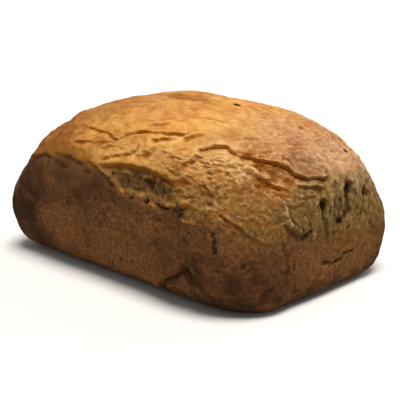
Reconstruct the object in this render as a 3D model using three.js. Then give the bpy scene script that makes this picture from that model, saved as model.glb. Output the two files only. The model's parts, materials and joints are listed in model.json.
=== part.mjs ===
// Rye bread loaf: one baked solid with a domed, folded top and torn shoulders.
//
// Millimetres, +Z up. The loaf lies along X on its flat base, its front faces -Y
// and its right end faces +X. The origin is the middle of the base.
//
// The form is built in three steps:
//   1. a plain loaf: flared walls, rounded corners and a domed top, joined by
//      circular blends (formDistance);
//   2. a box whose corners and cells are sent out along rays to that form;
//   3. relief on the skin: folds that follow curves, hollows, torn crumb and
//      slow waves.

import * as THREE from 'three';
import { mergeVertices } from 'three/addons/utils/BufferGeometryUtils.js';

// ---------------------------------------------------------------- Driving sizes

const BASE_HALF_LENGTH = 107;
const WALL_HALF_LENGTH = 108;
const BASE_HALF_WIDTH = 59;
const WALL_HALF_WIDTH = 72;
const FLARE_HEIGHT = 37;
const CROWN_HEIGHT = 104;
const BASE_EDGE_RADIUS = 11;
const FLAT_BELOW = 0.05;

// How the walls lean in above the flare, over this height.
const LEAN_HEIGHT = 34;
const LEAN_LEFT = 6;
const LEAN_FRONT = 3;

// Plan corners: tight low down, wide near the top, wider still at the front right.
const LOW_CORNER_RADIUS = 18;
const HIGH_CORNER_RADIUS = 66;
const CORNER_START_HEIGHT = 25;
const CORNER_END_HEIGHT = 95;
const FRONT_RIGHT_CORNER_EXTRA = 18;

// Where the dome meets the walls, at the four corners of the loaf.
const EDGE_HEIGHT = { frontLeft: 62, frontRight: 57, backLeft: 65, backRight: 66 };
const SHOULDER_RADIUS = { frontLeft: 12, frontRight: 26, backLeft: 31, backRight: 11 };

// The dome falls off with these powers of x and y.
const DOME_POWER_X = 2.6;
const DOME_POWER_Y = 3.3;
const DOME_REACH = 1.03;
const DOME_SLOPE = 0.9;

// A box of rays, aimed from this height, feels for the skin. Its foot points at the
// low walls, its top at the shoulders. Cells shrink towards the front, the right end
// and the top by this share, because the folds are there.
const CELLS = { x: 50, y: 32, z: 17 };
const CENTRE_HEIGHT = 45;
const RAY_FOOT = -33;
const RAY_TOP = 52;
const CELL_BIAS = 0.2;
const SHORTEST_REACH = 20;
const LONGEST_REACH = 170;
const SKIN_TOLERANCE = 1e-5;

// Folds are walked in steps of this length and die out over this share of each end.
// Their lips stand this many groove widths to the side, and are this much broader.
const FOLD_STEP = 4;
const FOLD_TAPER = 0.22;
const LIP_OFFSET = 1.8;
const LIP_SPREAD = 1.3;

// Slow waves over the whole crust: height, pitches along the loaf and across it.
const LONG_WAVE = { height: 0.4, along: 107, across: 94, sway: 10 };
const SHORT_WAVE = { height: 0.22, along: 47, across: 53, sway: 0 };

// Strands of pulled crumb that stand up the right end.
const STRANDS = { height: 1.1, pitch: 12, sway: 2.3, swayPitch: 44, break: 19.5 };
const STRAND_ZONE = { x: [94, Infinity], y: [-24, 60], z: [32, 68] };

// Wrinkles that hang like drapery round the near shoulder.
const WRINKLES = { height: 0.7, pitch: 10.7, sway: 2.4, swayPitch: 50, break: 38 };
const WRINKLE_ZONE = { x: [46, Infinity], y: [-Infinity, -26], z: [46, 88] };
const ZONE_FADE = 10;

const CRUST = new THREE.MeshStandardMaterial({
  name: 'rye_crust',
  color: new THREE.Color(0x9a6a35),
  roughness: 0.82,
  metalness: 0,
});

// ---------------------------------------------------------------- Small helpers

const clamp01 = (value) => Math.min(1, Math.max(0, value));

const smooth = (value) => {
  const t = clamp01(value);
  return t * t * (3 - 2 * t);
};

const mix = (from, to, amount) => from + (to - from) * amount;

const ripple = (place, pitch, phase = 0) => Math.sin((2 * Math.PI * place) / pitch + phase);

/** Intersection of two half spaces given by distances, blended with a radius. */
function roundedMax(first, second, radius) {
  const u = Math.max(first + radius, 0);
  const v = Math.max(second + radius, 0);
  const inside = Math.min(Math.max(first + radius, second + radius), 0);
  return Math.hypot(u, v) + inside - radius;
}

/** Blend four corner values over the plan of the loaf. */
function acrossPlan(corners, x, y) {
  const right = smooth(0.5 + (0.5 * x) / WALL_HALF_LENGTH);
  const back = smooth(0.5 + (0.5 * y) / WALL_HALF_WIDTH);
  const front = mix(corners.frontLeft, corners.frontRight, right);
  const rear = mix(corners.backLeft, corners.backRight, right);
  return mix(front, rear, back);
}

// ---------------------------------------------------------------- Plain loaf

/** Signed distance to the plain loaf, negative inside. */
function formDistance(p) {
  const rise = clamp01(p.z / FLARE_HEIGHT);
  const flare = rise * (2 - rise);
  const upper = smooth((p.z - FLARE_HEIGHT) / LEAN_HEIGHT);

  const leanX = p.x < 0 ? LEAN_LEFT : 0;
  const leanY = p.y < 0 ? LEAN_FRONT * smooth(0.5 + p.x / WALL_HALF_LENGTH) : 0;
  const halfLength = mix(BASE_HALF_LENGTH, WALL_HALF_LENGTH, flare) - leanX * upper;
  const halfWidth = mix(BASE_HALF_WIDTH, WALL_HALF_WIDTH, flare) - leanY * upper;

  const cornerRise = (p.z - CORNER_START_HEIGHT) / (CORNER_END_HEIGHT - CORNER_START_HEIGHT);
  const nearCorner = smooth(p.x / WALL_HALF_LENGTH) * smooth(-p.y / WALL_HALF_WIDTH);
  const cornerRadius =
    mix(LOW_CORNER_RADIUS, HIGH_CORNER_RADIUS, smooth(cornerRise)) +
    FRONT_RIGHT_CORNER_EXTRA * nearCorner;
  const walls = roundedMax(Math.abs(p.x) - halfLength, Math.abs(p.y) - halfWidth, cornerRadius);

  const spanX = Math.abs(p.x) / (WALL_HALF_LENGTH * DOME_REACH);
  const spanY = Math.abs(p.y) / (WALL_HALF_WIDTH * DOME_REACH);
  const arch = clamp01(1 - spanX ** DOME_POWER_X) * clamp01(1 - spanY ** DOME_POWER_Y);
  const edge = acrossPlan(EDGE_HEIGHT, p.x, p.y);
  const top = mix(edge, CROWN_HEIGHT, arch);
  const shoulder = acrossPlan(SHOULDER_RADIUS, p.x, p.y);
  const body = roundedMax(walls, (p.z - top) * DOME_SLOPE, shoulder);

  return roundedMax(body, -p.z, BASE_EDGE_RADIUS);
}

/** Outward direction of the plain loaf at a point of its skin. */
function formNormal(p) {
  const step = 0.5;
  const slope = (dx, dy, dz) => {
    const ahead = new THREE.Vector3(p.x + dx, p.y + dy, p.z + dz);
    const behind = new THREE.Vector3(p.x - dx, p.y - dy, p.z - dz);
    return formDistance(ahead) - formDistance(behind);
  };
  return new THREE.Vector3(slope(step, 0, 0), slope(0, step, 0), slope(0, 0, step)).normalize();
}

/** The ray from the middle of the loaf through a point. */
const fromCentre = (point) => new THREE.Vector3(point.x, point.y, point.z - CENTRE_HEIGHT);

/** Where a ray from the middle of the loaf leaves the plain form. */
function skinPoint(ray) {
  const along = (reach) => ray.clone().setLength(reach).add(new THREE.Vector3(0, 0, CENTRE_HEIGHT));
  let inside = SHORTEST_REACH;
  let outside = LONGEST_REACH;
  while (outside - inside > SKIN_TOLERANCE) {
    const middle = (inside + outside) / 2;
    if (formDistance(along(middle)) < 0) {
      inside = middle;
    } else {
      outside = middle;
    }
  }
  return along(inside);
}

// ---------------------------------------------------------------- Relief

/**
 * A crease that follows a curve on the skin, running left to right as seen from
 * outside. `depth` and `width` set the groove, `above` and `below` the swollen
 * lips beside it.
 */
class Fold {
  constructor(points, { depth = 1.2, width = 3, above = 0, below = 0 } = {}) {
    const knots = points.map(([x, y, z]) => new THREE.Vector3(x, y, z));
    const curve = new THREE.CatmullRomCurve3(knots, false, 'catmullrom');
    const steps = Math.max(2, Math.round(curve.getLength() / FOLD_STEP));
    this.points = curve.getSpacedPoints(steps).map((knot) => skinPoint(fromCentre(knot)));
    this.bounds = new THREE.Box3().setFromPoints(this.points).expandByScalar(width * 5);
    Object.assign(this, { depth, width, above, below });
  }

  /** The nearest place on the curve: its offset, direction and share of the length. */
  nearest(point) {
    const last = this.points.length - 1;
    let best = { distance: Infinity };
    for (let i = 0; i < last; i += 1) {
      const tangent = this.points[i + 1].clone().sub(this.points[i]);
      const offset = point.clone().sub(this.points[i]);
      const t = clamp01(offset.dot(tangent) / tangent.lengthSq());
      offset.addScaledVector(tangent, -t);
      if (offset.length() < best.distance) {
        best = { distance: offset.length(), offset, tangent, share: (i + t) / last };
      }
    }
    return best;
  }

  /** Height of the fold at a skin point with this normal. */
  at(point, normal) {
    if (!this.bounds.containsPoint(point)) {
      return 0;
    }
    const { distance, offset, tangent, share } = this.nearest(point);
    const upward = normal.clone().cross(tangent);
    const side = (offset.dot(upward) < 0 ? -distance : distance) / this.width;
    const hump = (middle, spread) => Math.exp(-(((side - middle) / spread) ** 2));
    const above = this.above * hump(LIP_OFFSET, LIP_SPREAD);
    const below = this.below * hump(-LIP_OFFSET, LIP_SPREAD);
    const strength = smooth(share / FOLD_TAPER) * smooth((1 - share) / FOLD_TAPER);
    return (above + below - this.depth * hump(0, 1)) * strength;
  }
}

/** A soft hollow (positive depth) or swelling (negative depth) about a point. */
class Hollow {
  constructor([x, y, z], depth, [rx, ry, rz]) {
    this.centre = new THREE.Vector3(x, y, z);
    this.radii = new THREE.Vector3(rx, ry, rz);
    this.depth = depth;
  }

  at(point) {
    const away = point.clone().sub(this.centre).divide(this.radii);
    return -this.depth * Math.exp(-away.lengthSq());
  }
}

const FOLDS = [
  // The edge where the risen crust hangs over the front wall.
  new Fold([[-92, -56, 60], [-62, -67, 66], [-26, -65, 70], [-4, -65, 66], [24, -67, 56]],
    { depth: 2.2, above: 1.8 }),
  // The lip over the torn patch, running on to the near corner.
  new Fold([[-8, -64, 70], [13, -61, 76], [34, -61, 75], [58, -60, 70], [79, -57, 62]],
    { depth: 2.4, above: 2.0 }),
  // Creases across the front of the dome.
  new Fold([[-46, -50, 89], [-17, -54, 88], [-2, -56, 86], [14, -51, 90], [38, -48, 91], [52, -41, 92]],
    { depth: 2.2, above: 0.8, below: 0.9 }),
  new Fold([[-14, -63, 74], [4, -62, 76], [18, -58, 82], [16, -55, 87]], { depth: 1.9, above: 0.8 }),
  new Fold([[-68, -65, 69], [-42, -62, 76], [-14, -60, 80]], { depth: 1.3 }),
  new Fold([[47, -60, 74], [54, -55, 79], [67, -46, 84]], { depth: 1.9 }),
  // The deep fold that swings round the near shoulder into the right end.
  new Fold([[54, -50, 85], [70, -39, 87], [82, -31, 81], [94, -15, 74], [101, 0, 67], [103, 12, 65]],
    { depth: 3.8, width: 4.2, above: 2.2, below: 1.2 }),
  // The rope of crust below it.
  new Fold([[80, -41, 78], [91, -32, 72], [99, -22, 66], [102, -14, 63]],
    { depth: 2.6, width: 3.8, above: 2.4 }),
  // The flap that turns down the near corner, and the crease below the flap.
  new Fold([[92, -40, 66], [101, -33, 60], [106, -33, 50], [107, -28, 44]], { depth: 1.8, above: 2.0 }),
  new Fold([[105, -33, 52], [108, -34, 38], [108, -31, 20]], { depth: 1.4 }),
  // The ridge at the head of the right end.
  new Fold([[99, -14, 65], [103, 0, 62], [104, 11, 60]], { depth: 1.4, above: 1.8 }),
  // Wrinkles between the near shoulder and the brown wall.
  new Fold([[60, -62, 66], [76, -57, 64], [94, -42, 62]], { above: 1.2 }),
  new Fold([[64, -66, 55], [79, -61, 54], [90, -54, 55]], { depth: 1.5, above: 1.6 }),
  new Fold([[84, -60, 51], [96, -54, 48], [104, -46, 42]], { depth: 1.5, above: 1.6 }),
  // The seam and its flap at the foot of the front.
  new Fold([[40, -64, 6], [56, -69, 19], [72, -71, 28]], { depth: 2.0, below: 1.0 }),
  // The same edge and creases round the back and the left end.
  new Fold([[101, 44, 62], [64, 69, 68], [12, 69, 66], [-6, 69, 67]], { depth: 2.0, above: 1.6 }),
  new Fold([[4, 69, 63], [-38, 69, 66], [-82, 54, 61]], { depth: 1.9, above: 1.5 }),
  new Fold([[-92, 42, 62], [-101, 4, 65], [-98, -34, 61]], { depth: 1.8, above: 1.5 }),
  new Fold([[72, 52, 86], [30, 57, 89], [12, 55, 91]], { depth: 1.7, above: 0.8 }),
  new Fold([[-8, 57, 89], [-50, 53, 86], [-66, 44, 84]], { depth: 1.5, below: 0.8 }),
  new Fold([[-84, 30, 80], [-90, 10, 79], [-88, -12, 80]], { depth: 1.4, above: 0.8 }),
];

const HOLLOWS = [
  // Torn crumb under the front lip.
  new Hollow([22, -66, 66], 3.2, [17, 14, 7]),
  new Hollow([44, -66, 64], 2.8, [13, 14, 7]),
  // The trough between the deep fold and the rope.
  new Hollow([89, -26, 76], 2.6, [9, 9, 8]),
  // Pulled-open holes in the right end.
  new Hollow([107, 24, 59], 3.6, [10, 4, 5]),
  new Hollow([108, 37, 54], 2.6, [10, 4, 4]),
  new Hollow([107, 2, 55], 3.2, [10, 4, 6]),
  new Hollow([108, 15, 44], 2.2, [10, 6, 4]),
  new Hollow([108, 0, 42], 1.8, [10, 3, 6]),
  new Hollow([108, -17, 42], 1.8, [10, 3, 3]),
  // Burst pores in the walls.
  new Hollow([35, -68, 57], 1.8, [4, 10, 4]),
  new Hollow([62, -68, 53], 1.6, [4, 10, 4]),
  new Hollow([86, -66, 44], 1.8, [3, 10, 5]),
  new Hollow([71, -71, 25], 1.8, [5, 10, 4]),
  new Hollow([-60, -71, 50], 1.1, [5, 10, 4]),
  new Hollow([30, 71, 46], 1.4, [5, 10, 4]),
  new Hollow([-108, -20, 42], 1.4, [10, 5, 4]),
  // Small pits in the dome.
  new Hollow([36, 6, 102], 1.2, [4, 3, 8]),
  new Hollow([72, 22, 91], 1.4, [3, 3, 8]),
  // Swellings: the crown and the far left shoulder.
  new Hollow([0, 4, 104], -1.4, [20, 16, 20]),
  new Hollow([-70, 10, 98], -0.9, [16, 18, 20]),
];

/** How far a point is inside a zone, from 0 to 1. */
function zoneShare(zone, point) {
  return Object.entries(zone).reduce((share, [axis, [from, to]]) => {
    const entered = smooth((point[axis] - from) / ZONE_FADE);
    const left = smooth((to - point[axis]) / ZONE_FADE);
    return share * entered * left;
  }, 1);
}

/** Height of a slow wave at a point. */
function wave({ height, along, across, sway }, { x, y, z }) {
  return height * ripple(x + sway * ripple(y, along), along, 0.8) * ripple(y + 0.8 * z, across, 1.1);
}

/** Height of the standing strands at a point. */
function strands(point) {
  const { height, pitch, sway, swayPitch } = STRANDS;
  const ribs = ripple(point.y + sway * ripple(point.z, swayPitch), pitch);
  const breaks = ripple(point.y + 0.3 * point.z, STRANDS.break, 0.7);
  return height * ribs * breaks * zoneShare(STRAND_ZONE, point);
}

/** Height of the hanging wrinkles at a point. */
function wrinkles(point) {
  const { height, pitch, sway, swayPitch } = WRINKLES;
  const rows = ripple(point.z + sway * ripple(point.x - point.y, swayPitch), pitch);
  const breaks = ripple(point.x + point.y, WRINKLES.break, 1.9);
  return height * rows * breaks * zoneShare(WRINKLE_ZONE, point);
}

/** All the relief that reaches a skin point: its height, and the point moved by it. */
function addRelief(point) {
  const normal = formNormal(point);
  let height = wave(LONG_WAVE, point) + wave(SHORT_WAVE, point) + strands(point) + wrinkles(point);
  for (const fold of FOLDS) {
    height += fold.at(point, normal);
  }
  for (const hollow of HOLLOWS) {
    height += hollow.at(point);
  }
  // The base stays flat, and the relief fades in above its edge.
  height *= smooth(point.z / BASE_EDGE_RADIUS);
  return { height, moved: point.clone().addScaledVector(normal, height) };
}

// ---------------------------------------------------------------- Skin

/** The ray through a place on the box of rays, each coordinate from -1 to 1. */
function boxRay(u, v, w) {
  const towards = (place) => place + CELL_BIAS * (1 - place * place);
  return new THREE.Vector3(
    towards(u) * WALL_HALF_LENGTH,
    -towards(-v) * WALL_HALF_WIDTH,
    mix(RAY_FOOT, RAY_TOP, 0.5 + 0.5 * towards(w)),
  );
}

/** Split each quad of the box along the way that the relief runs. */
function turnDiagonals(index, heights) {
  for (let i = 0; i < index.length; i += 6) {
    const [a, b, d, , c] = index.slice(i, i + 5);
    if (Math.abs(heights[a] - heights[c]) < Math.abs(heights[b] - heights[d])) {
      index.splice(i, 6, a, b, c, a, c, d);
    }
  }
}

/** The closed skin of the loaf, standing on Z = 0 about the origin. */
function loafGeometry() {
  const box = new THREE.BoxGeometry(2, 2, 2, CELLS.x, CELLS.y, CELLS.z);
  box.deleteAttribute('normal');
  box.deleteAttribute('uv');
  const skin = mergeVertices(box);
  const position = skin.getAttribute('position');
  const heights = [];
  for (let i = 0; i < position.count; i += 1) {
    const ray = boxRay(position.getX(i), position.getY(i), position.getZ(i));
    const { height, moved } = addRelief(skinPoint(ray));
    position.setXYZ(i, moved.x, moved.y, moved.z < FLAT_BELOW ? 0 : moved.z);
    heights.push(height);
  }
  const index = Array.from(skin.getIndex().array);
  turnDiagonals(index, heights);
  skin.setIndex(index);
  skin.computeBoundingBox();
  const { min, max } = skin.boundingBox;
  skin.translate(-(min.x + max.x) / 2, -(min.y + max.y) / 2, -min.z);
  skin.computeVertexNormals();
  return skin;
}

// ---------------------------------------------------------------- Assembly

function buildRyeLoaf() {
  const loaf = new THREE.Mesh(loafGeometry(), CRUST);
  loaf.name = 'loaf';
  const root = new THREE.Group();
  root.name = 'rye_bread_loaf';
  root.add(loaf);
  return root;
}

export default buildRyeLoaf();
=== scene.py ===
"""Looks of a rye bread loaf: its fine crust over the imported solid, a pale floor and soft light.

Sizes are millimetres, as named in each class, and become metres where they reach the scene.
The loaf lies along X, its front faces -Y, its torn end faces +X, and it stands on Z = 0.
"""

import json
import logging
import math
from dataclasses import dataclass
from enum import Enum
from typing import Any, Iterable, Mapping, Sequence

import bpy
import numpy as np
from mathutils import Matrix, Vector, noise

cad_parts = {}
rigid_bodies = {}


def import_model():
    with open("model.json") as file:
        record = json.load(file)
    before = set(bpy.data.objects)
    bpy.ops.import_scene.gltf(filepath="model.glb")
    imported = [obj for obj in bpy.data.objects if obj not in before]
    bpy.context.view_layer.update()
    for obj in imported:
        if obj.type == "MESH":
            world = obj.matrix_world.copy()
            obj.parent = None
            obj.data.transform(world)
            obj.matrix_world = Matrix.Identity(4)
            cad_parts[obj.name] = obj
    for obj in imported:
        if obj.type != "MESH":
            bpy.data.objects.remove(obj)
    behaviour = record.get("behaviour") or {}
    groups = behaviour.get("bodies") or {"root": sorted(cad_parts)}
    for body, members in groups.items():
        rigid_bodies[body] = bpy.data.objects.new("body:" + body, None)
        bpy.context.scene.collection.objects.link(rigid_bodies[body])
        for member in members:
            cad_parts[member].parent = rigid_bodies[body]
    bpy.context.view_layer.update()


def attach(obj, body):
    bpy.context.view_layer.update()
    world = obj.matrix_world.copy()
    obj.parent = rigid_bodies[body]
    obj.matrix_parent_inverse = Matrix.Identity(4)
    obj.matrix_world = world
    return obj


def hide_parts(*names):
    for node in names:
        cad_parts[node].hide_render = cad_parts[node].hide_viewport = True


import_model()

MM = 0.001
FAINT = 0.01
LOG = logging.getLogger("rye_loaf")

Colour = tuple[float, float, float]
Place = tuple[float, float, float]
Span = tuple[float, float]


# ---------------------------------------------------------------------- Number helpers


def smooth(value: np.ndarray | float) -> np.ndarray | float:
    """Ease from 0 to 1 over the same range, and hold outside it."""
    t = np.clip(value, 0.0, 1.0)
    return t * t * (3.0 - 2.0 * t)


def mix(start: Any, end: Any, share: Any) -> Any:
    """Blend two values by a share from 0 to 1."""
    return start + (end - start) * share


def ripple(place: np.ndarray, pitch: float, phase: float = 0.0) -> np.ndarray:
    """A sine wave of this pitch along a coordinate."""
    return np.sin(2.0 * math.pi * place / pitch + phase)


def hump(value: np.ndarray, middle: float, spread: np.ndarray | float) -> np.ndarray:
    """A bell of height 1 about the middle."""
    return np.exp(-(((value - middle) / spread) ** 2))


def rimmed(bell: np.ndarray, rim: Span) -> np.ndarray:
    """A bell made steep and cut off low, so that it has a flat middle and a rim."""
    return smooth(rim[0] * bell - rim[1])


def rounded_max(first: np.ndarray, second: np.ndarray, radius: Any) -> np.ndarray:
    """Intersection of two half spaces, blended with a radius.

    Args:
        first: Signed distance to the first, negative inside.
        second: The same to the second.
        radius: Radius of the rounded edge between them.

    Returns:
        Signed distance to what lies in both.
    """
    u = np.maximum(first + radius, 0.0)
    v = np.maximum(second + radius, 0.0)
    inside = np.minimum(np.maximum(first + radius, second + radius), 0.0)
    return np.hypot(u, v) + inside - radius


@dataclass(frozen=True)
class Grain:
    """A field of smooth chance values, mostly from -1 to 1.

    pitch is the size of its lumps, one for all directions or one for each, and seed tells
    one field from the next. With more octaves, ever finer layers are summed.
    """

    pitch: Place | float
    seed: int
    octaves: int = 1

    SEED_SHIFT = (17.3, 5.1, 9.7)
    FADE = 0.9
    FINER = 2.1

    def at(self, points: np.ndarray) -> np.ndarray:
        """The values of the field.

        Args:
            points: Places, one per row.

        Returns:
            One value per place.
        """
        shift = Vector([part * self.seed for part in self.SEED_SHIFT])
        scaled = (points / np.asarray(self.pitch, float)).tolist()
        places = [Vector(place) + shift for place in scaled]
        if self.octaves == 1:
            return np.array([noise.noise(place) for place in places])
        layers = (self.FADE, self.FINER, self.octaves)
        return np.array([noise.fractal(place, *layers) for place in places])


def edge_pairs(mesh: bpy.types.Mesh) -> np.ndarray:
    """The two vertices of every edge, one edge per row.

    Args:
        mesh: The mesh.

    Returns:
        Pairs of vertex numbers.
    """
    ends = np.zeros(len(mesh.edges) * 2, dtype=np.int32)
    mesh.edges.foreach_get("vertices", ends)
    return ends.reshape(-1, 2)


def deselect_all() -> None:
    """Leave nothing selected, so that the next operator acts on its own piece alone."""
    for other in bpy.context.view_layer.objects:
        other.select_set(False)


# ---------------------------------------------------------------------- The plain loaf


@dataclass(frozen=True)
class Corners:
    """One value for each corner of the loaf, blended over its plan."""

    front_left: float
    front_right: float
    back_left: float
    back_right: float

    def across(self, right: np.ndarray, back: np.ndarray) -> np.ndarray:
        """The value all over the plan.

        Args:
            right: Share of the way from the left end to the right.
            back: Share of the way from the front to the back.

        Returns:
            The value at each of those places.
        """
        front = mix(self.front_left, self.front_right, right)
        rear = mix(self.back_left, self.back_right, right)
        return mix(front, rear, back)


@dataclass(frozen=True)
class LoafForm:
    """The loaf without its relief: flared walls, rounded corners and a domed top.

    The walls flare up to flare_height, and lean in above it. Their corners grow rounder
    from corner_start_height to corner_end_height. edge_height is where the wall ends at
    each corner of the loaf, and shoulder_radius the rounding between wall and dome. The
    skin is found between shortest_reach and longest_reach from the middle of the loaf.
    """

    base_half_length: float = 107.0
    wall_half_length: float = 108.0
    base_half_width: float = 59.0
    wall_half_width: float = 72.0
    flare_height: float = 37.0
    crown_height: float = 104.0
    base_edge_radius: float = 11.0
    lean_height: float = 34.0
    lean_left: float = 6.0
    lean_front: float = 3.0
    low_corner_radius: float = 18.0
    high_corner_radius: float = 66.0
    corner_start_height: float = 25.0
    corner_end_height: float = 95.0
    near_corner_extra: float = 18.0
    edge_height: Corners = Corners(62.0, 57.0, 65.0, 66.0)
    shoulder_radius: Corners = Corners(12.0, 26.0, 31.0, 11.0)
    dome_power_x: float = 2.6
    dome_power_y: float = 3.3
    dome_reach: float = 1.03
    dome_slope: float = 0.9
    centre_height: float = 45.0
    shortest_reach: float = 20.0
    longest_reach: float = 170.0
    halvings: int = 26
    slope_step: float = 0.5

    def distance(self, points: np.ndarray) -> np.ndarray:
        """Signed distance to the plain loaf.

        Args:
            points: Places, one per row.

        Returns:
            The distance at each, negative inside.
        """
        x, y, z = points.T
        rise = np.clip(z / self.flare_height, 0.0, 1.0)
        flare = rise * (2.0 - rise)
        upper = smooth((z - self.flare_height) / self.lean_height)
        lean_x = np.where(x < 0.0, self.lean_left, 0.0)
        lean_y = np.where(y < 0.0, self.lean_front * smooth(0.5 + x / self.wall_half_length), 0.0)
        half_length = mix(self.base_half_length, self.wall_half_length, flare) - lean_x * upper
        half_width = mix(self.base_half_width, self.wall_half_width, flare) - lean_y * upper

        corner_span = self.corner_end_height - self.corner_start_height
        corner_rise = smooth((z - self.corner_start_height) / corner_span)
        near = smooth(x / self.wall_half_length) * smooth(-y / self.wall_half_width)
        radius = mix(self.low_corner_radius, self.high_corner_radius, corner_rise)
        radius = radius + self.near_corner_extra * near
        walls = rounded_max(np.abs(x) - half_length, np.abs(y) - half_width, radius)

        span_x = np.abs(x) / (self.wall_half_length * self.dome_reach)
        span_y = np.abs(y) / (self.wall_half_width * self.dome_reach)
        arch_x = np.clip(1.0 - span_x**self.dome_power_x, 0.0, 1.0)
        arch_y = np.clip(1.0 - span_y**self.dome_power_y, 0.0, 1.0)
        right = smooth(0.5 + 0.5 * x / self.wall_half_length)
        back = smooth(0.5 + 0.5 * y / self.wall_half_width)
        top = mix(self.edge_height.across(right, back), self.crown_height, arch_x * arch_y)
        shoulder = self.shoulder_radius.across(right, back)
        body = rounded_max(walls, (z - top) * self.dome_slope, shoulder)
        return rounded_max(body, -z, self.base_edge_radius)

    def normals(self, points: np.ndarray) -> np.ndarray:
        """Outward direction of the plain loaf.

        Args:
            points: Places on its skin, one per row.

        Returns:
            A unit vector for each.
        """
        slopes = []
        for axis in np.eye(3) * self.slope_step:
            slopes.append(self.distance(points + axis) - self.distance(points - axis))
        slope = np.stack(slopes, axis=1)
        return slope / np.linalg.norm(slope, axis=1, keepdims=True)

    def skin(self, rays: np.ndarray) -> np.ndarray:
        """Where rays from the middle of the loaf leave the plain form.

        Args:
            rays: Directions of any length, one per row.

        Returns:
            The place on the skin along each.
        """
        ways = rays / np.linalg.norm(rays, axis=1, keepdims=True)
        centre = np.array([0.0, 0.0, self.centre_height])
        inside = np.full(len(ways), self.shortest_reach)
        outside = np.full(len(ways), self.longest_reach)
        for _ in range(self.halvings):
            middle = (inside + outside) / 2.0
            within = self.distance(centre + ways * middle[:, None]) < 0.0
            inside = np.where(within, middle, inside)
            outside = np.where(within, outside, middle)
        return centre + ways * inside[:, None]

    def snapped(self, points: np.ndarray) -> np.ndarray:
        """Points moved onto the skin, straight away from the middle of the loaf."""
        return self.skin(points - np.array([0.0, 0.0, self.centre_height]))


# ---------------------------------------------------------------------- Relief


class Layer(Enum):
    """What is painted on the skin, each as a value from 0 to 1 at every vertex."""

    GOLD = "gold"
    AMBER = "amber"
    TAN = "tan"
    HONEY = "honey"
    # Painted shade in the creases and under the lips.
    CREASE = "crease"
    # Painted highlights on the crests of the relief.
    RIDGE = "ridge"
    # Painted shade in the valleys of the relief.
    VALLEY = "valley"
    SANDY = "sandy"
    CRINKLED = "crinkled"
    TORN = "torn"
    # Painted shade in holes and pits, and black at the middle of the deepest creases.
    HOLE = "hole"
    # Darker patches, partly painted shade under the lips, along the foot, round the left corner and
    # in the folds.
    DARK = "dark"
    WARM = "warm"
    OLIVE = "olive"
    # Painted highlights and glints.
    HIGHLIGHT = "pale"
    # Painted shade on the sides of the relief that face down.
    SLOPE = "slope"


@dataclass
class Skin:
    """The loaf's skin while it is shaped: places, directions, and what is painted on it.

    wander is where each vertex would lie if the loaf were drawn by an unsteady hand. Folds
    and zones are measured there, so that they stray from their drawn paths and limits.
    """

    rest: np.ndarray
    normals: np.ndarray
    height: np.ndarray
    slide: np.ndarray
    paint: dict[Layer, np.ndarray]
    wander: np.ndarray

    # How far a vertex strays, then the size, share and first seed of each lump it strays by.
    STRAY = 1.5
    STRAY_LUMPS = (
        (13.0, 1.0, 1), (5.0, 0.5, 4), (2.8, 0.3, 7),
    )
    FINE_CRESTS = 0.6

    @classmethod
    def on(cls, form: LoafForm, rays: np.ndarray) -> "Skin":
        """The bare skin of a form along rays.

        Args:
            form: The plain loaf.
            rays: One direction per vertex.

        Returns:
            A skin with no relief and no paint.
        """
        rest = form.skin(rays)
        count = len(rest)
        stray = [
            sum(share * Grain(size, seed + axis).at(rest) for size, share, seed in cls.STRAY_LUMPS)
            for axis in range(3)
        ]
        return cls(
            rest=rest,
            normals=form.normals(rest),
            height=np.zeros(count),
            slide=np.zeros((count, 3)),
            paint={layer: np.zeros(count) for layer in Layer},
            wander=rest + cls.STRAY * np.stack(stray, axis=1),
        )

    def near(self, track: np.ndarray, reach: float) -> np.ndarray:
        """Which vertices lie within reach of the box round a track.

        Args:
            track: Places, one per row.
            reach: How far outside their box a vertex may lie.

        Returns:
            The numbers of the vertices.
        """
        low = track.min(axis=0) - reach
        high = track.max(axis=0) + reach
        return np.flatnonzero(np.all((self.rest > low) & (self.rest < high), axis=1))

    def stain(self, layer: Layer, where: np.ndarray, amount: np.ndarray) -> None:
        """Paint vertices, keeping what is already stronger there."""
        layer_values = self.paint[layer]
        layer_values[where] = np.maximum(layer_values[where], np.clip(amount, 0.0, 1.0))

    def stain_relief(self, edges: np.ndarray, rounds: tuple[int, int], full: Place) -> None:
        """Paint highlights on the crests of the relief, and shade in its valleys.

        Args:
            edges: Pairs of neighbouring vertices.
            rounds: How often the relief is averaged with its neighbours to find the level
                for the crests, and how often for the valleys.
            full: Height above the first level that is painted in full, above the second,
                and below the second.
        """
        start, end = edges.T
        count = len(self.height)
        neighbours = np.bincount(start, minlength=count) + np.bincount(end, minlength=count)
        level = self.height
        for done in range(rounds[1]):
            if done == rounds[0]:
                fine = np.clip((self.height - level) / full[0], 0.0, 1.0)
            around = np.bincount(start, level[end], count) + np.bincount(end, level[start], count)
            level = (level + around / neighbours) / 2.0
        broad = np.clip((self.height - level) / full[1], 0.0, 1.0)
        crests = self.FINE_CRESTS * fine + (1.0 - self.FINE_CRESTS) * broad
        self.paint[Layer.RIDGE] = np.maximum(self.paint[Layer.RIDGE], crests)
        self.paint[Layer.VALLEY] = np.clip((level - self.height) / full[2], 0.0, 1.0)

    def stain_slopes(self, normals: np.ndarray, full: float) -> None:
        """Paint shade on the sides of the relief that face down.

        Args:
            normals: The direction of each vertex with its relief.
            full: How much lower than the plain loaf it has to face to be painted in full.
        """
        lower = self.normals[:, 2] - normals[:, 2]
        self.stain(Layer.SLOPE, np.arange(len(normals)), lower / full)

    def moved(self) -> np.ndarray:
        """The vertices with their relief."""
        return self.rest + self.normals * self.height[:, None] + self.slide


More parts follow.
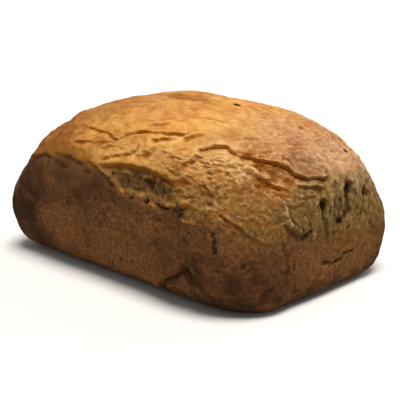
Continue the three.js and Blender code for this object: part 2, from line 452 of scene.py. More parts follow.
@dataclass(frozen=True)
class Waves:
    """Slow swells over the whole loaf: sines along it, crossed with sines round it.

    pitch is the size of a swell each way, and bend how far the sines along it sway.
    """

    height: float
    pitch: Span
    bend: float = 0.0

    PHASES = (0.8, 1.1)
    CLIMB = 0.8

    def press(self, skin: Skin) -> None:
        """Work the swells into a skin.

        Args:
            skin: The skin.
        """
        x, y, z = skin.rest.T
        sway = self.bend * ripple(y, self.pitch[0])
        along = ripple(x + sway, self.pitch[0], self.PHASES[0])
        across = ripple(y + self.CLIMB * z, self.pitch[1], self.PHASES[1])
        skin.height += self.height * (along * across)


@dataclass(frozen=True)
class Fold:
    """A crease along a curve on the skin, running left to right as seen from outside.

    The crust above it lies over the crust below it: depth and width set the groove, above
    the height of the upper sheet, spread how far up it that reaches, crest the height of its
    thin edge, below the swelling under the groove, and overhang how far the upper sheet
    leans over it. shade is how dark the painted shade in the groove is, shadow how far down
    the lower sheet that painted shade reaches, black_shade how near black it is painted, and
    lip how dark the painted shade on the side of the upper sheet is and how bright the
    painted highlight on its edge. patchy is how far the fold comes and goes, beaded how far
    its thin edge does, and taper the share of its length over which each end dies out.
    """

    path: tuple[Place, ...]
    depth: float = 1.0
    width: float = 1.4
    above: float = 0.25
    crest: float = 0.1
    below: float = 0.15
    overhang: float = 0.0
    shade: float = 0.6
    black_shade: float = 0.0
    lip: float = 0.0
    patchy: float = 0.6
    beaded: float = 1.2
    shadow: float = 0.9
    taper: float = 0.2
    spread: float = 3.5

    # The way between the points of the path, and how far from it the fold is felt, in widths.
    STEP = 1.5
    REACH = 9.0

    # Its section, in widths above the path: the middle of each part and how far it spreads.
    GROOVE = -0.3
    GROOVE_SPREADS = (1.4, 0.85)
    SHEET_RISE = 1.1
    THIN_EDGE = (0.8, 0.75)
    SWELLING = (-2.0, 1.1)
    LEAN = (0.8, 0.8)
    SHADE_TOP = 0.4
    SHADED_SIDE = (0.5, 1.2)
    HIGHLIT_EDGE = (2.2, 0.5)

    # What makes it uneven: its width, its strength, its thin edge, and its painted lip shade and
    # highlight.
    WIDENING = 0.5
    LIP_PATCHY = 1.2
    WIDTH_LUMPS = Grain(11.0, 7)
    PATCHES = Grain(9.0, 8)
    BEADS = Grain(5.0, 13)
    LIP_PATCHES = Grain(6.0, 15)

    def track(self, form: LoafForm) -> np.ndarray:
        """The path as closely spaced places on the skin, through all its points.

        Args:
            form: The plain loaf that it lies on.

        Returns:
            The places, one per row.
        """
        knots = np.array(self.path, float)
        ends = np.vstack([2 * knots[0] - knots[1], knots, 2 * knots[-1] - knots[-2]])
        places = [knots[0]]
        for before, start, end, after in zip(ends, ends[1:], ends[2:], ends[3:]):
            steps = max(2, round(float(np.linalg.norm(end - start)) / self.STEP))
            for t in np.arange(1, steps + 1) / steps:
                pull = (end - before) * t + (2 * before - 5 * start + 4 * end - after) * t**2
                places.append(start + 0.5 * (pull + (3 * start - before - 3 * end + after) * t**3))
        return form.snapped(np.array(places))

    def press(self, skin: Skin, form: LoafForm) -> None:
        """Work the fold into a skin.

        Args:
            skin: The skin.
            form: The plain loaf that it lies on.
        """
        track = self.track(form)
        chosen = skin.near(track, self.width * self.REACH)
        rest = skin.rest[chosen]
        side, share, upward = self._across(skin, chosen, track)
        strength = smooth(share / self.taper) * smooth((1.0 - share) / self.taper)
        strength *= 1.0 + self.patchy * self.PATCHES.at(rest)
        edge = self.crest * (1.0 + self.beaded * self.BEADS.at(rest))
        lean = hump(side, *self.LEAN) * strength * self.overhang
        skin.height[chosen] += self._section(side, edge) * strength
        skin.slide[chosen] -= upward * lean[:, None]
        # Painted shade in the groove and down the lower sheet, near black in its middle by
        # black_shade.
        deepest = hump(side, self.SHADE_TOP - self.shadow, self.shadow) * strength
        skin.stain(Layer.CREASE, chosen, self.shade * deepest)
        skin.stain(Layer.HOLE, chosen, self.black_shade * deepest)
        # Painted shade on the side of the upper sheet, and a painted highlight on its edge.
        lip = self.lip * strength * (1.0 + self.LIP_PATCHY * self.LIP_PATCHES.at(rest))
        skin.stain(Layer.SLOPE, chosen, lip * hump(side, *self.SHADED_SIDE))
        skin.stain(Layer.RIDGE, chosen, lip * hump(side, *self.HIGHLIT_EDGE))

    def _across(self, skin: Skin, chosen: np.ndarray, track: np.ndarray) -> tuple[np.ndarray, ...]:
        """Where vertices lie across and along the fold.

        Args:
            skin: The skin.
            chosen: The numbers of the vertices.
            track: The path on the skin.

        Returns:
            How far above the path each vertex lies, in widths, how far along it as a share,
            and the direction over the skin that is up from the path there.
        """
        points = skin.wander[chosen]
        best = np.full(len(chosen), np.inf)
        offset = np.zeros((len(chosen), 3))
        tangent = np.zeros((len(chosen), 3))
        share = np.zeros(len(chosen))
        last = len(track) - 1
        for i, (start, step) in enumerate(zip(track, np.diff(track, axis=0))):
            away = points - start
            t = np.clip(away @ step / (step @ step), 0.0, 1.0)
            rest = away - t[:, None] * step
            gap = np.linalg.norm(rest, axis=1)
            closer = gap < best
            best = np.where(closer, gap, best)
            offset[closer] = rest[closer]
            tangent[closer] = step / np.linalg.norm(step)
            share = np.where(closer, (i + t) / last, share)
        upward = np.cross(skin.normals[chosen], tangent)
        side = np.sign(np.sum(offset * upward, axis=1)) * best / self.width
        side *= 1.0 + self.WIDENING * self.WIDTH_LUMPS.at(skin.rest[chosen])
        return side, share, upward

    def _section(self, side: np.ndarray, edge: np.ndarray) -> np.ndarray:
        """The fold's height across it.

        Args:
            side: How far above the path, in widths.
            edge: The height of the thin edge there.

        Returns:
            The height of the relief.
        """
        upper = smooth((side - self.GROOVE) / self.SHEET_RISE)
        sheet = upper * hump(np.maximum(side, 0.0), 0.0, self.spread)
        groove = hump(side, self.GROOVE, np.where(side < self.GROOVE, *self.GROOVE_SPREADS))
        relief = self.above * sheet + edge * hump(side, *self.THIN_EDGE)
        return relief + (self.below * hump(side, *self.SWELLING) - self.depth * groove)


@dataclass(frozen=True)
class Bell:
    """A patch about a place, strongest in its middle, with an edge stirred by chance.

    radii is its size along each axis, and ragged how far its edge strays, as a share of it.
    """

    middle: Place
    radii: Place
    ragged: float

    # Where it ends, in radii, and its lumps: a share of the smallest radius, and a least size.
    REACH = 2.6
    LUMPS = (0.9, 1.2)
    SEED = 9

    def over(self, skin: Skin) -> tuple[np.ndarray, np.ndarray]:
        """The patch on a skin.

        Args:
            skin: The skin.

        Returns:
            Its strength from 0 to 1 at the vertices it covers, and which those are.
        """
        away = (0.5 * (skin.rest + skin.wander) - np.array(self.middle)) / np.array(self.radii)
        chosen = np.flatnonzero(np.all(np.abs(away) < self.REACH, axis=1))
        pitch = self.LUMPS[0] * min(self.radii) + self.LUMPS[1]
        stir = 1.0 + self.ragged * Grain(pitch, self.SEED, octaves=2).at(skin.rest[chosen])
        return np.exp(-np.sum((away[chosen] * stir[:, None]) ** 2, axis=1)), chosen


@dataclass(frozen=True)
class Hollow:
    """A soft hollow about a place, or a swelling where the depth is below 0."""

    middle: Place
    depth: float
    radii: Place
    hole: float = 0.0

    RAGGED = 0.35
    RIM = (1.7, 0.2)

    def press(self, skin: Skin) -> None:
        """Work the hollow into a skin, and paint shade in it by its share of hole.

        Args:
            skin: The skin.
        """
        bell, chosen = Bell(self.middle, self.radii, self.RAGGED).over(skin)
        skin.height[chosen] -= self.depth * bell
        if self.hole:
            skin.stain(Layer.HOLE, chosen, self.hole * rimmed(bell, self.RIM))


@dataclass(frozen=True)
class Patch:
    """A patch of paint about a place, with a ragged edge."""

    middle: Place
    radii: Place
    amount: float = 1.0

    RAGGED = 0.45
    RIM = (1.8, 0.15)

    def press(self, skin: Skin, layer: Layer) -> None:
        """Paint the patch on a layer of a skin."""
        bell, chosen = Bell(self.middle, self.radii, self.RAGGED).over(skin)
        skin.stain(layer, chosen, self.amount * rimmed(bell, self.RIM))


@dataclass(frozen=True)
class Zone:
    """A part of the loaf between limits on each axis, with soft edges."""

    x: Span = (-math.inf, math.inf)
    y: Span = (-math.inf, math.inf)
    z: Span = (-math.inf, math.inf)
    fade: float = 8.0

    def share(self, points: np.ndarray) -> np.ndarray:
        """How far points are inside the zone.

        Args:
            points: Places, one per row.

        Returns:
            From 0 outside to 1 well inside, for each.
        """
        inside = np.ones(len(points))
        for values, (low, high) in zip(points.T, (self.x, self.y, self.z)):
            inside *= smooth((values - low) / self.fade) * smooth((high - values) / self.fade)
        return inside


@dataclass(frozen=True)
class Wrinkles:
    """Rows of soft ridges that wander over a zone.

    pitch is the size of a ridge along each axis, so that a long pitch on one axis
    makes ridges that run along it. The ridges are round and the valleys sharp, or the
    other way where it is crested. Where within names a layer, only that is wrinkled.
    """

    zone: Zone
    height: float
    pitch: Place
    seed: int
    sandy: float = 0.0
    crinkled: float = 0.0
    within: Layer | None = None
    crested: bool = False

    # Where a ridge is full, and the size and height of the finer ridges on it, as shares.
    FULL_AT = 0.4
    FINE_PITCH = 0.45
    FINE_HEIGHT = 0.5

    def press(self, skin: Skin) -> None:
        """Work the ridges into a skin.

        Args:
            skin: The skin.
        """
        share = self.zone.share(skin.wander)
        if self.within is not None:
            share *= skin.paint[self.within]
        chosen = np.flatnonzero(share > FAINT)
        points = skin.wander[chosen]
        rows = Grain(self.pitch, self.seed).at(points)
        ridge = 2.0 * np.sqrt(np.clip(np.abs(rows) / self.FULL_AT, 0.0, 1.0)) - 1.0
        if self.crested:
            ridge = -ridge
        fine_pitch = tuple(self.FINE_PITCH * part for part in self.pitch)
        fine = Grain(fine_pitch, self.seed + 1).at(points)
        height = self.height * (ridge + self.FINE_HEIGHT * fine)
        skin.height[chosen] += height * share[chosen]
        skin.stain(Layer.SANDY, chosen, self.sandy * share[chosen])
        skin.stain(Layer.CRINKLED, chosen, self.crinkled * share[chosen])


@dataclass(frozen=True)
class Shingles:
    """Thin sheets of skin that lie one over the next down the side of the dome.

    pitch is the way from one sheet's edge to the next, lumps the size of the waves in the
    rows and of the places where they come and go, and stray how far they wave, in rows.
    """

    zone: Zone
    height: float
    pitch: float
    seed: int
    lumps: Place = (15.0, 12.0, 9.0)
    stray: float = 1.1
    shade: float = 0.5

    # The way down the dome: how much of it is outward, how much downward, and how much
    # less the loaf's length counts than its width.
    OUTWARD = 0.74
    DOWNWARD = 0.67
    LENGTHWAYS = 0.6

    # Where a row is strong: how it comes and goes, as a share, and its strongest.
    PATCH_SIZE = 0.7
    PATCH_LEVEL = 0.6
    PATCH_SWING = 1.8
    STRONGEST = 1.3

    # One sheet, over a row: how it swells, its edge, its level, and the shade at both ends.
    SWELL_POWER = 1.5
    EDGE_WIDTH = 0.24
    LEVEL = 0.3
    SHADES = ((0.0, 0.13), (1.0, 0.10))

    def press(self, skin: Skin) -> None:
        """Work the sheets into a skin.

        Args:
            skin: The skin.
        """
        share = self.zone.share(skin.wander)
        chosen = np.flatnonzero(share > FAINT)
        points = skin.rest[chosen]
        x, y, z = points.T
        down = self.OUTWARD * np.hypot(self.LENGTHWAYS * x, y) - self.DOWNWARD * z
        wave = Grain(self.lumps, self.seed, octaves=3).at(points)
        place = (down / self.pitch + self.stray * wave) % 1.0
        patch_size = tuple(self.PATCH_SIZE * part for part in self.lumps)
        patches = Grain(patch_size, self.seed + 1).at(points)
        swing = self.PATCH_LEVEL + self.PATCH_SWING * patches
        strength = np.clip(swing, 0.0, self.STRONGEST) * share[chosen]
        sheet = place**self.SWELL_POWER * smooth((1.0 - place) / self.EDGE_WIDTH)
        skin.height[chosen] += self.height * (sheet - self.LEVEL) * strength
        # Painted shade under the edge of each sheet.
        under = sum(hump(place, *shade) for shade in self.SHADES)
        skin.stain(Layer.CREASE, chosen, self.shade * under * strength)


# ---------------------------------------------------------------------- What the crust has


FOLDS: tuple[Fold, ...] = (
    # The edge where the risen crust hangs over the front wall.
    Fold(
        ((-88, -60, 62), (-80, -63, 65), (-70, -66, 67), (-58, -66, 69), (-50, -67, 67)),
        depth=0.9, width=1.3, above=0.6, crest=0.4, overhang=0.2, shade=0.6, lip=0.3,
    ),
    Fold(
        ((-56, -66, 70), (-46, -66, 72), (-33, -65, 71), (-24, -65, 69), (-19, -66, 66)),
        depth=1.0, width=1.4, above=0.5, overhang=0.2, shade=0.4, lip=0.4, patchy=0.6,
    ),
    Fold(
        ((-22, -65, 72), (-12, -65, 70), (-4, -66, 66), (4, -67, 62), (10, -67, 59)),
        depth=0.7, width=1.0, above=0.3, crest=0.9, overhang=0.2, shade=0.2, lip=0.2,
    ),
    # The lip over the torn patch, running on to the near corner.
    Fold(
        (
            (-14, -65, 69.5), (0, -64, 71), (13, -63, 73), (27, -62, 73.5), (42, -62, 70.5),
            (55, -61, 68),
        ),
        depth=1.7, width=1.7, above=1.3, crest=0.4, overhang=0.6, shade=0.3, lip=0.1, patchy=0.3,
    ),
    Fold(
        ((50, -61, 71), (62, -59, 69), (72, -57, 66), (80, -56, 63)),
        depth=0.9, width=1.6, above=0.4, overhang=0.2, shade=0.3,
    ),
    # Creases across the front of the dome.
    Fold(
        ((-46, -51, 89), (-34, -53, 88), (-22, -54, 88), (-11, -55, 87), (-2, -56, 86)),
        depth=0.4, width=1.2, shade=0.2, patchy=0.9,
    ),
    Fold(
        ((-12, -55, 87), (-5, -56, 86), (0, -56, 86), (7, -53, 89), (14, -51, 91), (20, -50, 91)),
        depth=1.1, width=0.9, above=0.3, below=0.4, shade=0.8, lip=0.3, patchy=0.4,
    ),
    Fold(
        ((12, -51, 90), (18, -50, 92), (26, -49, 92), (31, -47, 93), (36, -47, 92)),
        depth=0.7, width=0.9, shade=0.5, patchy=0.5,
    ),
    Fold(
        ((27, -49, 92), (33, -48, 92), (37, -47, 92), (41, -46, 92), (46, -43, 93)),
        depth=1.7, width=1.0, above=0.3, below=0.5, shade=1.0, lip=0.5, patchy=0.2,
    ),
    Fold(
        ((24, -53, 88), (29, -52, 88), (34, -51, 89), (38, -49, 90)),
        depth=1.1, crest=0.3, shade=0.6,
    ),
    Fold(
        ((43, -48, 90), (47, -46, 91), (50, -43, 92), (53, -39, 93)),
        depth=1.1, shade=0.7, patchy=0.3,
    ),
    Fold(
        ((18, -45, 95), (22, -44, 96), (27, -43, 96)),
        depth=0.7, width=1.2, shade=0.7, patchy=0.2,
    ),
    Fold(
        ((-14, -63, 74), (-5, -63, 74), (4, -62, 76), (13, -60, 79), (18, -58, 82), (16, -55, 86)),
        depth=0.9, width=0.85, above=0.3, below=0.3, shade=0.9, patchy=0.1,
    ),
    Fold(((17, -59, 79), (24, -59, 79), (29, -57, 81), (29, -54, 85)), depth=0.9, shade=0.45),
    Fold(
        ((-62, -63, 74), (-45, -62, 78), (-31, -61, 80), (-20, -60, 81), (-14, -59, 82)),
        depth=0.4, shade=0.2,
    ),
    Fold(
        ((-15, -60, 82), (-8, -58, 83), (-3, -57, 84), (3, -57, 84), (9, -57, 83)),
        depth=0.3, shade=0.1,
    ),
    Fold(((-74, -52, 79), (-66, -55, 80), (-56, -55, 83)), depth=0.7, shade=0.4),
    Fold(((-88, -50, 68), (-80, -56, 72), (-70, -60, 74)), depth=0.8, shade=0.4),
    Fold(
        ((48, -58, 76), (54, -55, 79), (59, -51, 82), (64, -48, 84)),
        depth=1.0, width=1.3, above=0.3, below=0.4, shade=0.6,
    ),
    # The deep fold that swings round the near shoulder into the right end.
    Fold(
        (
            (55, -50, 86), (60, -46, 87), (65, -41, 88), (69, -37, 88), (73, -37, 85),
            (78, -35, 83), (82, -32, 81),
        ),
        depth=1.7, width=1.0, above=0.6, crest=0.4, overhang=0.5, shade=1.1, lip=0.3, shadow=1.7,
        patchy=0.25, spread=6.0, taper=0.12,
    ),
    Fold(
        (
            (77, -35, 83), (83, -29, 81), (87, -23, 80), (91, -18, 77), (95, -14, 74), (98, -8, 71),
            (100, -2, 69), (101.5, 5, 67.5), (101.5, 12, 68),
        ),
        depth=1.9, width=1.05, above=0.8, crest=0.7, overhang=0.6, shade=0.95, lip=0.25,
        patchy=0.25, shadow=1.9, spread=6.0, taper=0.12,
    ),
    # The shaded trough between it and the rope.
    Fold(
        ((86, -31, 78.5), (89, -28, 77), (92, -25, 74.5), (97, -21, 70), (100, -16, 67)),
        depth=1.2, width=3.0, above=0.0, crest=0.0, below=0.0, shade=0.35, patchy=0.8,
    ),
    # The rope of crust below it.
    Fold(
        (
            (79, -38.5, 79), (84, -37, 76), (87, -35, 74), (90, -33, 72), (93, -31.5, 70),
            (96, -28, 68), (98, -23, 66.5), (101, -17, 63.5),
        ),
        depth=0.3, width=1.2, above=0.3, crest=2.1, overhang=0.2, shade=0.15, patchy=0.2,
        beaded=0.25, spread=2.5, taper=0.3,
    ),
    Fold(
        (
            (85, -36.5, 75.5), (87, -35, 74), (90, -33, 72), (93, -31.5, 70), (96, -28, 68),
            (98, -23, 66.5),
        ),
        depth=0.9, width=1.2, above=0.0, crest=0.0, shade=1.2, patchy=0.1, shadow=1.5, taper=0.3,
    ),
    Fold(((71, -50, 77), (76, -48, 76), (81, -46, 74)), depth=0.5, width=1.1, crest=0.4, shade=0.3),
    Fold(
        ((62, -58, 71), (68, -57, 69.5), (72, -56, 68), (74, -57, 65)),
        depth=0.8, width=1.1, crest=0.9, overhang=0.4, shade=0.5,
    ),
    # The flap that turns down the near corner, and the crease below it.
    Fold(
        (
            (108, -20, 43), (107, -25, 46), (106, -27.5, 49.5), (105, -28, 53), (103.5, -28, 57.5),
            (101, -29, 61), (98, -31.5, 64), (94, -37, 66),
        ),
        depth=1.2, width=1.1, above=0.8, crest=1.4, overhang=0.3, shade=0.9, patchy=0.2, beaded=0.4,
    ),
    Fold(
        ((105, -32, 52), (107, -30, 46), (108, -26, 43), (108, -20, 41), (108, -14, 41)),
        depth=1.0, width=1.7, above=0.4, crest=0.3, overhang=0.3, shade=0.6, black_shade=0.15,
    ),
    Fold(
        ((105, -34, 50), (107, -35, 43), (108, -33, 32), (108, -32, 20), (107, -30, 8)),
        depth=0.7, width=1.3, shade=0.5,
    ),
    Fold(((102, -27, 59), (104, -18, 58), (105, -12, 59)), depth=0.9, crest=0.3, shade=0.5),
    # The ridges at the head of the right end.
    Fold(
        ((97.5, -15, 67), (100, -9, 66), (102, -3, 64), (104, 4, 61)),
        depth=0.6, width=1.1, above=0.4, crest=1.6, overhang=0.3, shade=0.25, patchy=0.3,
        beaded=0.4,
    ),
    Fold(((102, -17, 61), (104, -9, 60), (105, -3, 60)), crest=0.7, shade=0.3),
    Fold(((96, 8, 74), (99, 12, 72), (101, 10, 68)), depth=0.7, shade=0.4),
    Fold(((87, -14, 80), (92, -10, 77), (96, -9, 73)), depth=0.7, shade=0.4),
    # Torn little lips along the border of the brown wall.
    Fold(
        (
            (70, -67, 53), (76, -65, 53.5), (78, -61, 58), (82, -58, 58), (90, -57, 53),
            (96, -53, 50),
        ),
        depth=0.5, width=1.2, above=0.2, crest=1.1, overhang=0.1, shade=0.4, beaded=0.5, patchy=0.7,
    ),
    Fold(
        ((37, -68, 54), (45, -67, 58), (52, -67, 57), (55, -66, 61)),
        depth=0.9, width=1.1, crest=1.2, overhang=0.4, shade=0.7, lip=0.3,
    ),
    Fold(((59, -66, 58.5), (64, -65, 59), (67, -62, 63)), width=1.2, crest=1.1, shade=0.7, lip=0.8),
    Fold(
        (
            (44, -67, 58), (36, -66, 62), (30, -65, 64), (27, -67, 61), (19, -68, 58),
            (12, -67, 61), (4, -66, 66),
        ),
        depth=0.7, width=1.0, above=0.3, crest=0.5, overhang=0.3, shade=0.4,
    ),
    # Wrinkles between the near shoulder and the brown wall.
    Fold(((74, -60, 62), (82, -58, 60), (88, -54, 59)), depth=0.6, width=1.1, crest=0.6, shade=0.3),
    Fold(
        ((84, -60, 51), (92, -56, 51), (98, -52, 46), (105, -44, 41)),
        depth=0.5, crest=0.5, shade=0.3,
    ),
    # The seam and its flap at the foot of the front.
    Fold(
        ((36, -60, 1), (42, -64, 8), (48, -67, 14), (56, -69, 19), (63, -70, 24), (72, -71, 28)),
        depth=3.2, width=1.8, above=1.5, crest=0.2, overhang=0.8, shade=1.0, black_shade=0.9,
        patchy=0.15, taper=0.16, spread=5.0,
    ),
    Fold(
        ((71, -71, 28.5), (74, -71, 25), (76, -70, 20), (77, -69, 14)),
        depth=1.8, width=1.6, above=1.0, overhang=0.5, shade=0.8, patchy=0.1, taper=0.35,
    ),
    # The crack low in the right end.
    Fold(
        (
            (108, -5, 22), (108, 2, 21.4), (108, 6, 20), (108, 11, 20.2), (108, 15, 20.6),
            (108, 17.5, 22.6), (108, 23, 22), (108, 30, 21.6),
        ),
        depth=1.6, width=0.7, above=0.25, shade=1.0, black_shade=0.6, patchy=0.2, taper=0.12,
    ),
    # A crest at the left of the front, and small creases on the dome.
    Fold(
        ((-59, -67, 66), (-63, -64, 71), (-66, -59, 77)),
        depth=0.9, width=1.3, crest=0.7, shade=0.6,
    ),
    Fold(
        ((-16, -11, 103), (-8, -9, 104), (0, -8, 104), (7, -5, 104), (14, -3, 104), (24, -3, 104)),
        depth=0.5, above=0.4, crest=0.4, shade=0.6, patchy=0.3,
    ),
    Fold(((67, -26, 90), (71, -20, 90), (75, -15, 89)), depth=0.7, shade=0.4),
    Fold(((40, -26, 98), (49, -23, 98), (54, -20, 97)), depth=0.6, width=1.3, shade=0.35),
    Fold(((14, -46, 95), (22, -44, 96), (30, -41, 96)), depth=0.5, width=1.2, shade=0.35),
    # The edge of the risen crust round the back and the left end.
    Fold(
        ((105, 40, 59), (100, 50, 60), (92, 57, 64), (82, 62, 66), (72, 66, 64), (60, 69, 66)),
        depth=1.4, width=1.8, above=1.0, crest=0.3, overhang=0.6, shade=0.7,
    ),
    Fold(
        ((68, 67, 69), (56, 69, 67), (44, 70, 63), (34, 70, 63), (24, 69, 67)),
        depth=1.5, width=1.8, above=1.1, overhang=0.7, shade=0.8,
    ),
    Fold(
        ((34, 69, 66), (22, 70, 64), (10, 70, 65), (-3, 69, 69), (-14, 69, 68), (-24, 70, 63)),
        depth=1.3, width=1.6, above=0.9, crest=0.3, overhang=0.5, shade=0.7,
    ),
    Fold(
        ((-14, 67, 72), (-26, 68, 70), (-38, 69, 66), (-50, 69, 68), (-62, 66, 67), (-72, 62, 62)),
        depth=1.6, width=1.9, above=1.1, overhang=0.8, shade=0.8, patchy=0.35,
    ),
    Fold(
        ((-64, 63, 70), (-76, 58, 68), (-86, 52, 63), (-93, 43, 62)),
        depth=1.2, above=0.7, shade=0.6,
    ),
    Fold(
        ((-90, 46, 66), (-96, 33, 63), (-100, 20, 66), (-101, 8, 64), (-102, 0, 60)),
        depth=1.3, width=1.6, above=0.8, overhang=0.4, shade=0.7,
    ),
    Fold(
        ((-99, 16, 69), (-100, 2, 70), (-101, -10, 66), (-100, -22, 63), (-98, -32, 63)),
        depth=1.3, width=1.6, above=0.7, overhang=0.4, shade=0.6,
    ),
    # Creases across the back of the dome and down its left end.
    Fold(
        ((78, 50, 84), (68, 53, 86), (56, 54, 88), (44, 58, 86), (34, 58, 88)),
        shade=0.7, crest=0.3,
    ),
    Fold(((50, 51, 91), (38, 54, 91), (24, 53, 93), (12, 56, 91)), depth=0.8, shade=0.5),
    Fold(((16, 60, 86), (4, 60, 87), (-8, 58, 89), (-24, 57, 88)), depth=1.2, below=0.4, shade=0.7),
    Fold(((-14, 62, 82), (-28, 60, 84), (-40, 59, 83), (-52, 54, 86)), shade=0.6),
    Fold(((-46, 58, 80), (-58, 55, 82), (-70, 46, 84)), depth=0.9, crest=0.3, shade=0.5),
    Fold(((66, 63, 74), (52, 66, 74), (40, 65, 78), (30, 62, 82)), depth=0.9, below=0.4, shade=0.5),
    Fold(((8, 66, 74), (-2, 65, 77), (-12, 63, 80)), depth=0.8, shade=0.4),
    Fold(((92, 46, 74), (82, 53, 77), (70, 60, 75)), depth=1.0, crest=0.4, shade=0.5),
    Fold(
        ((-82, 38, 79), (-88, 24, 82), (-91, 12, 80), (-92, 0, 81)),
        depth=1.0, crest=0.3, shade=0.6,
    ),
    Fold(((-86, 2, 86), (-86, -14, 86), (-80, -26, 88)), depth=0.8, shade=0.4),
    Fold(((-93, 22, 75), (-97, 10, 72), (-98, -2, 73), (-96, -14, 76)), depth=0.8, shade=0.5),
    Fold(((-94, -20, 75), (-92, -32, 74), (-86, -42, 76)), depth=0.8, crest=0.3, shade=0.4),
    Fold(
        ((-40, 66, 8), (-58, 69, 18), (-76, 70, 26)),
        depth=1.2, above=0.8, shade=0.8, black_shade=0.4,
    ),
)

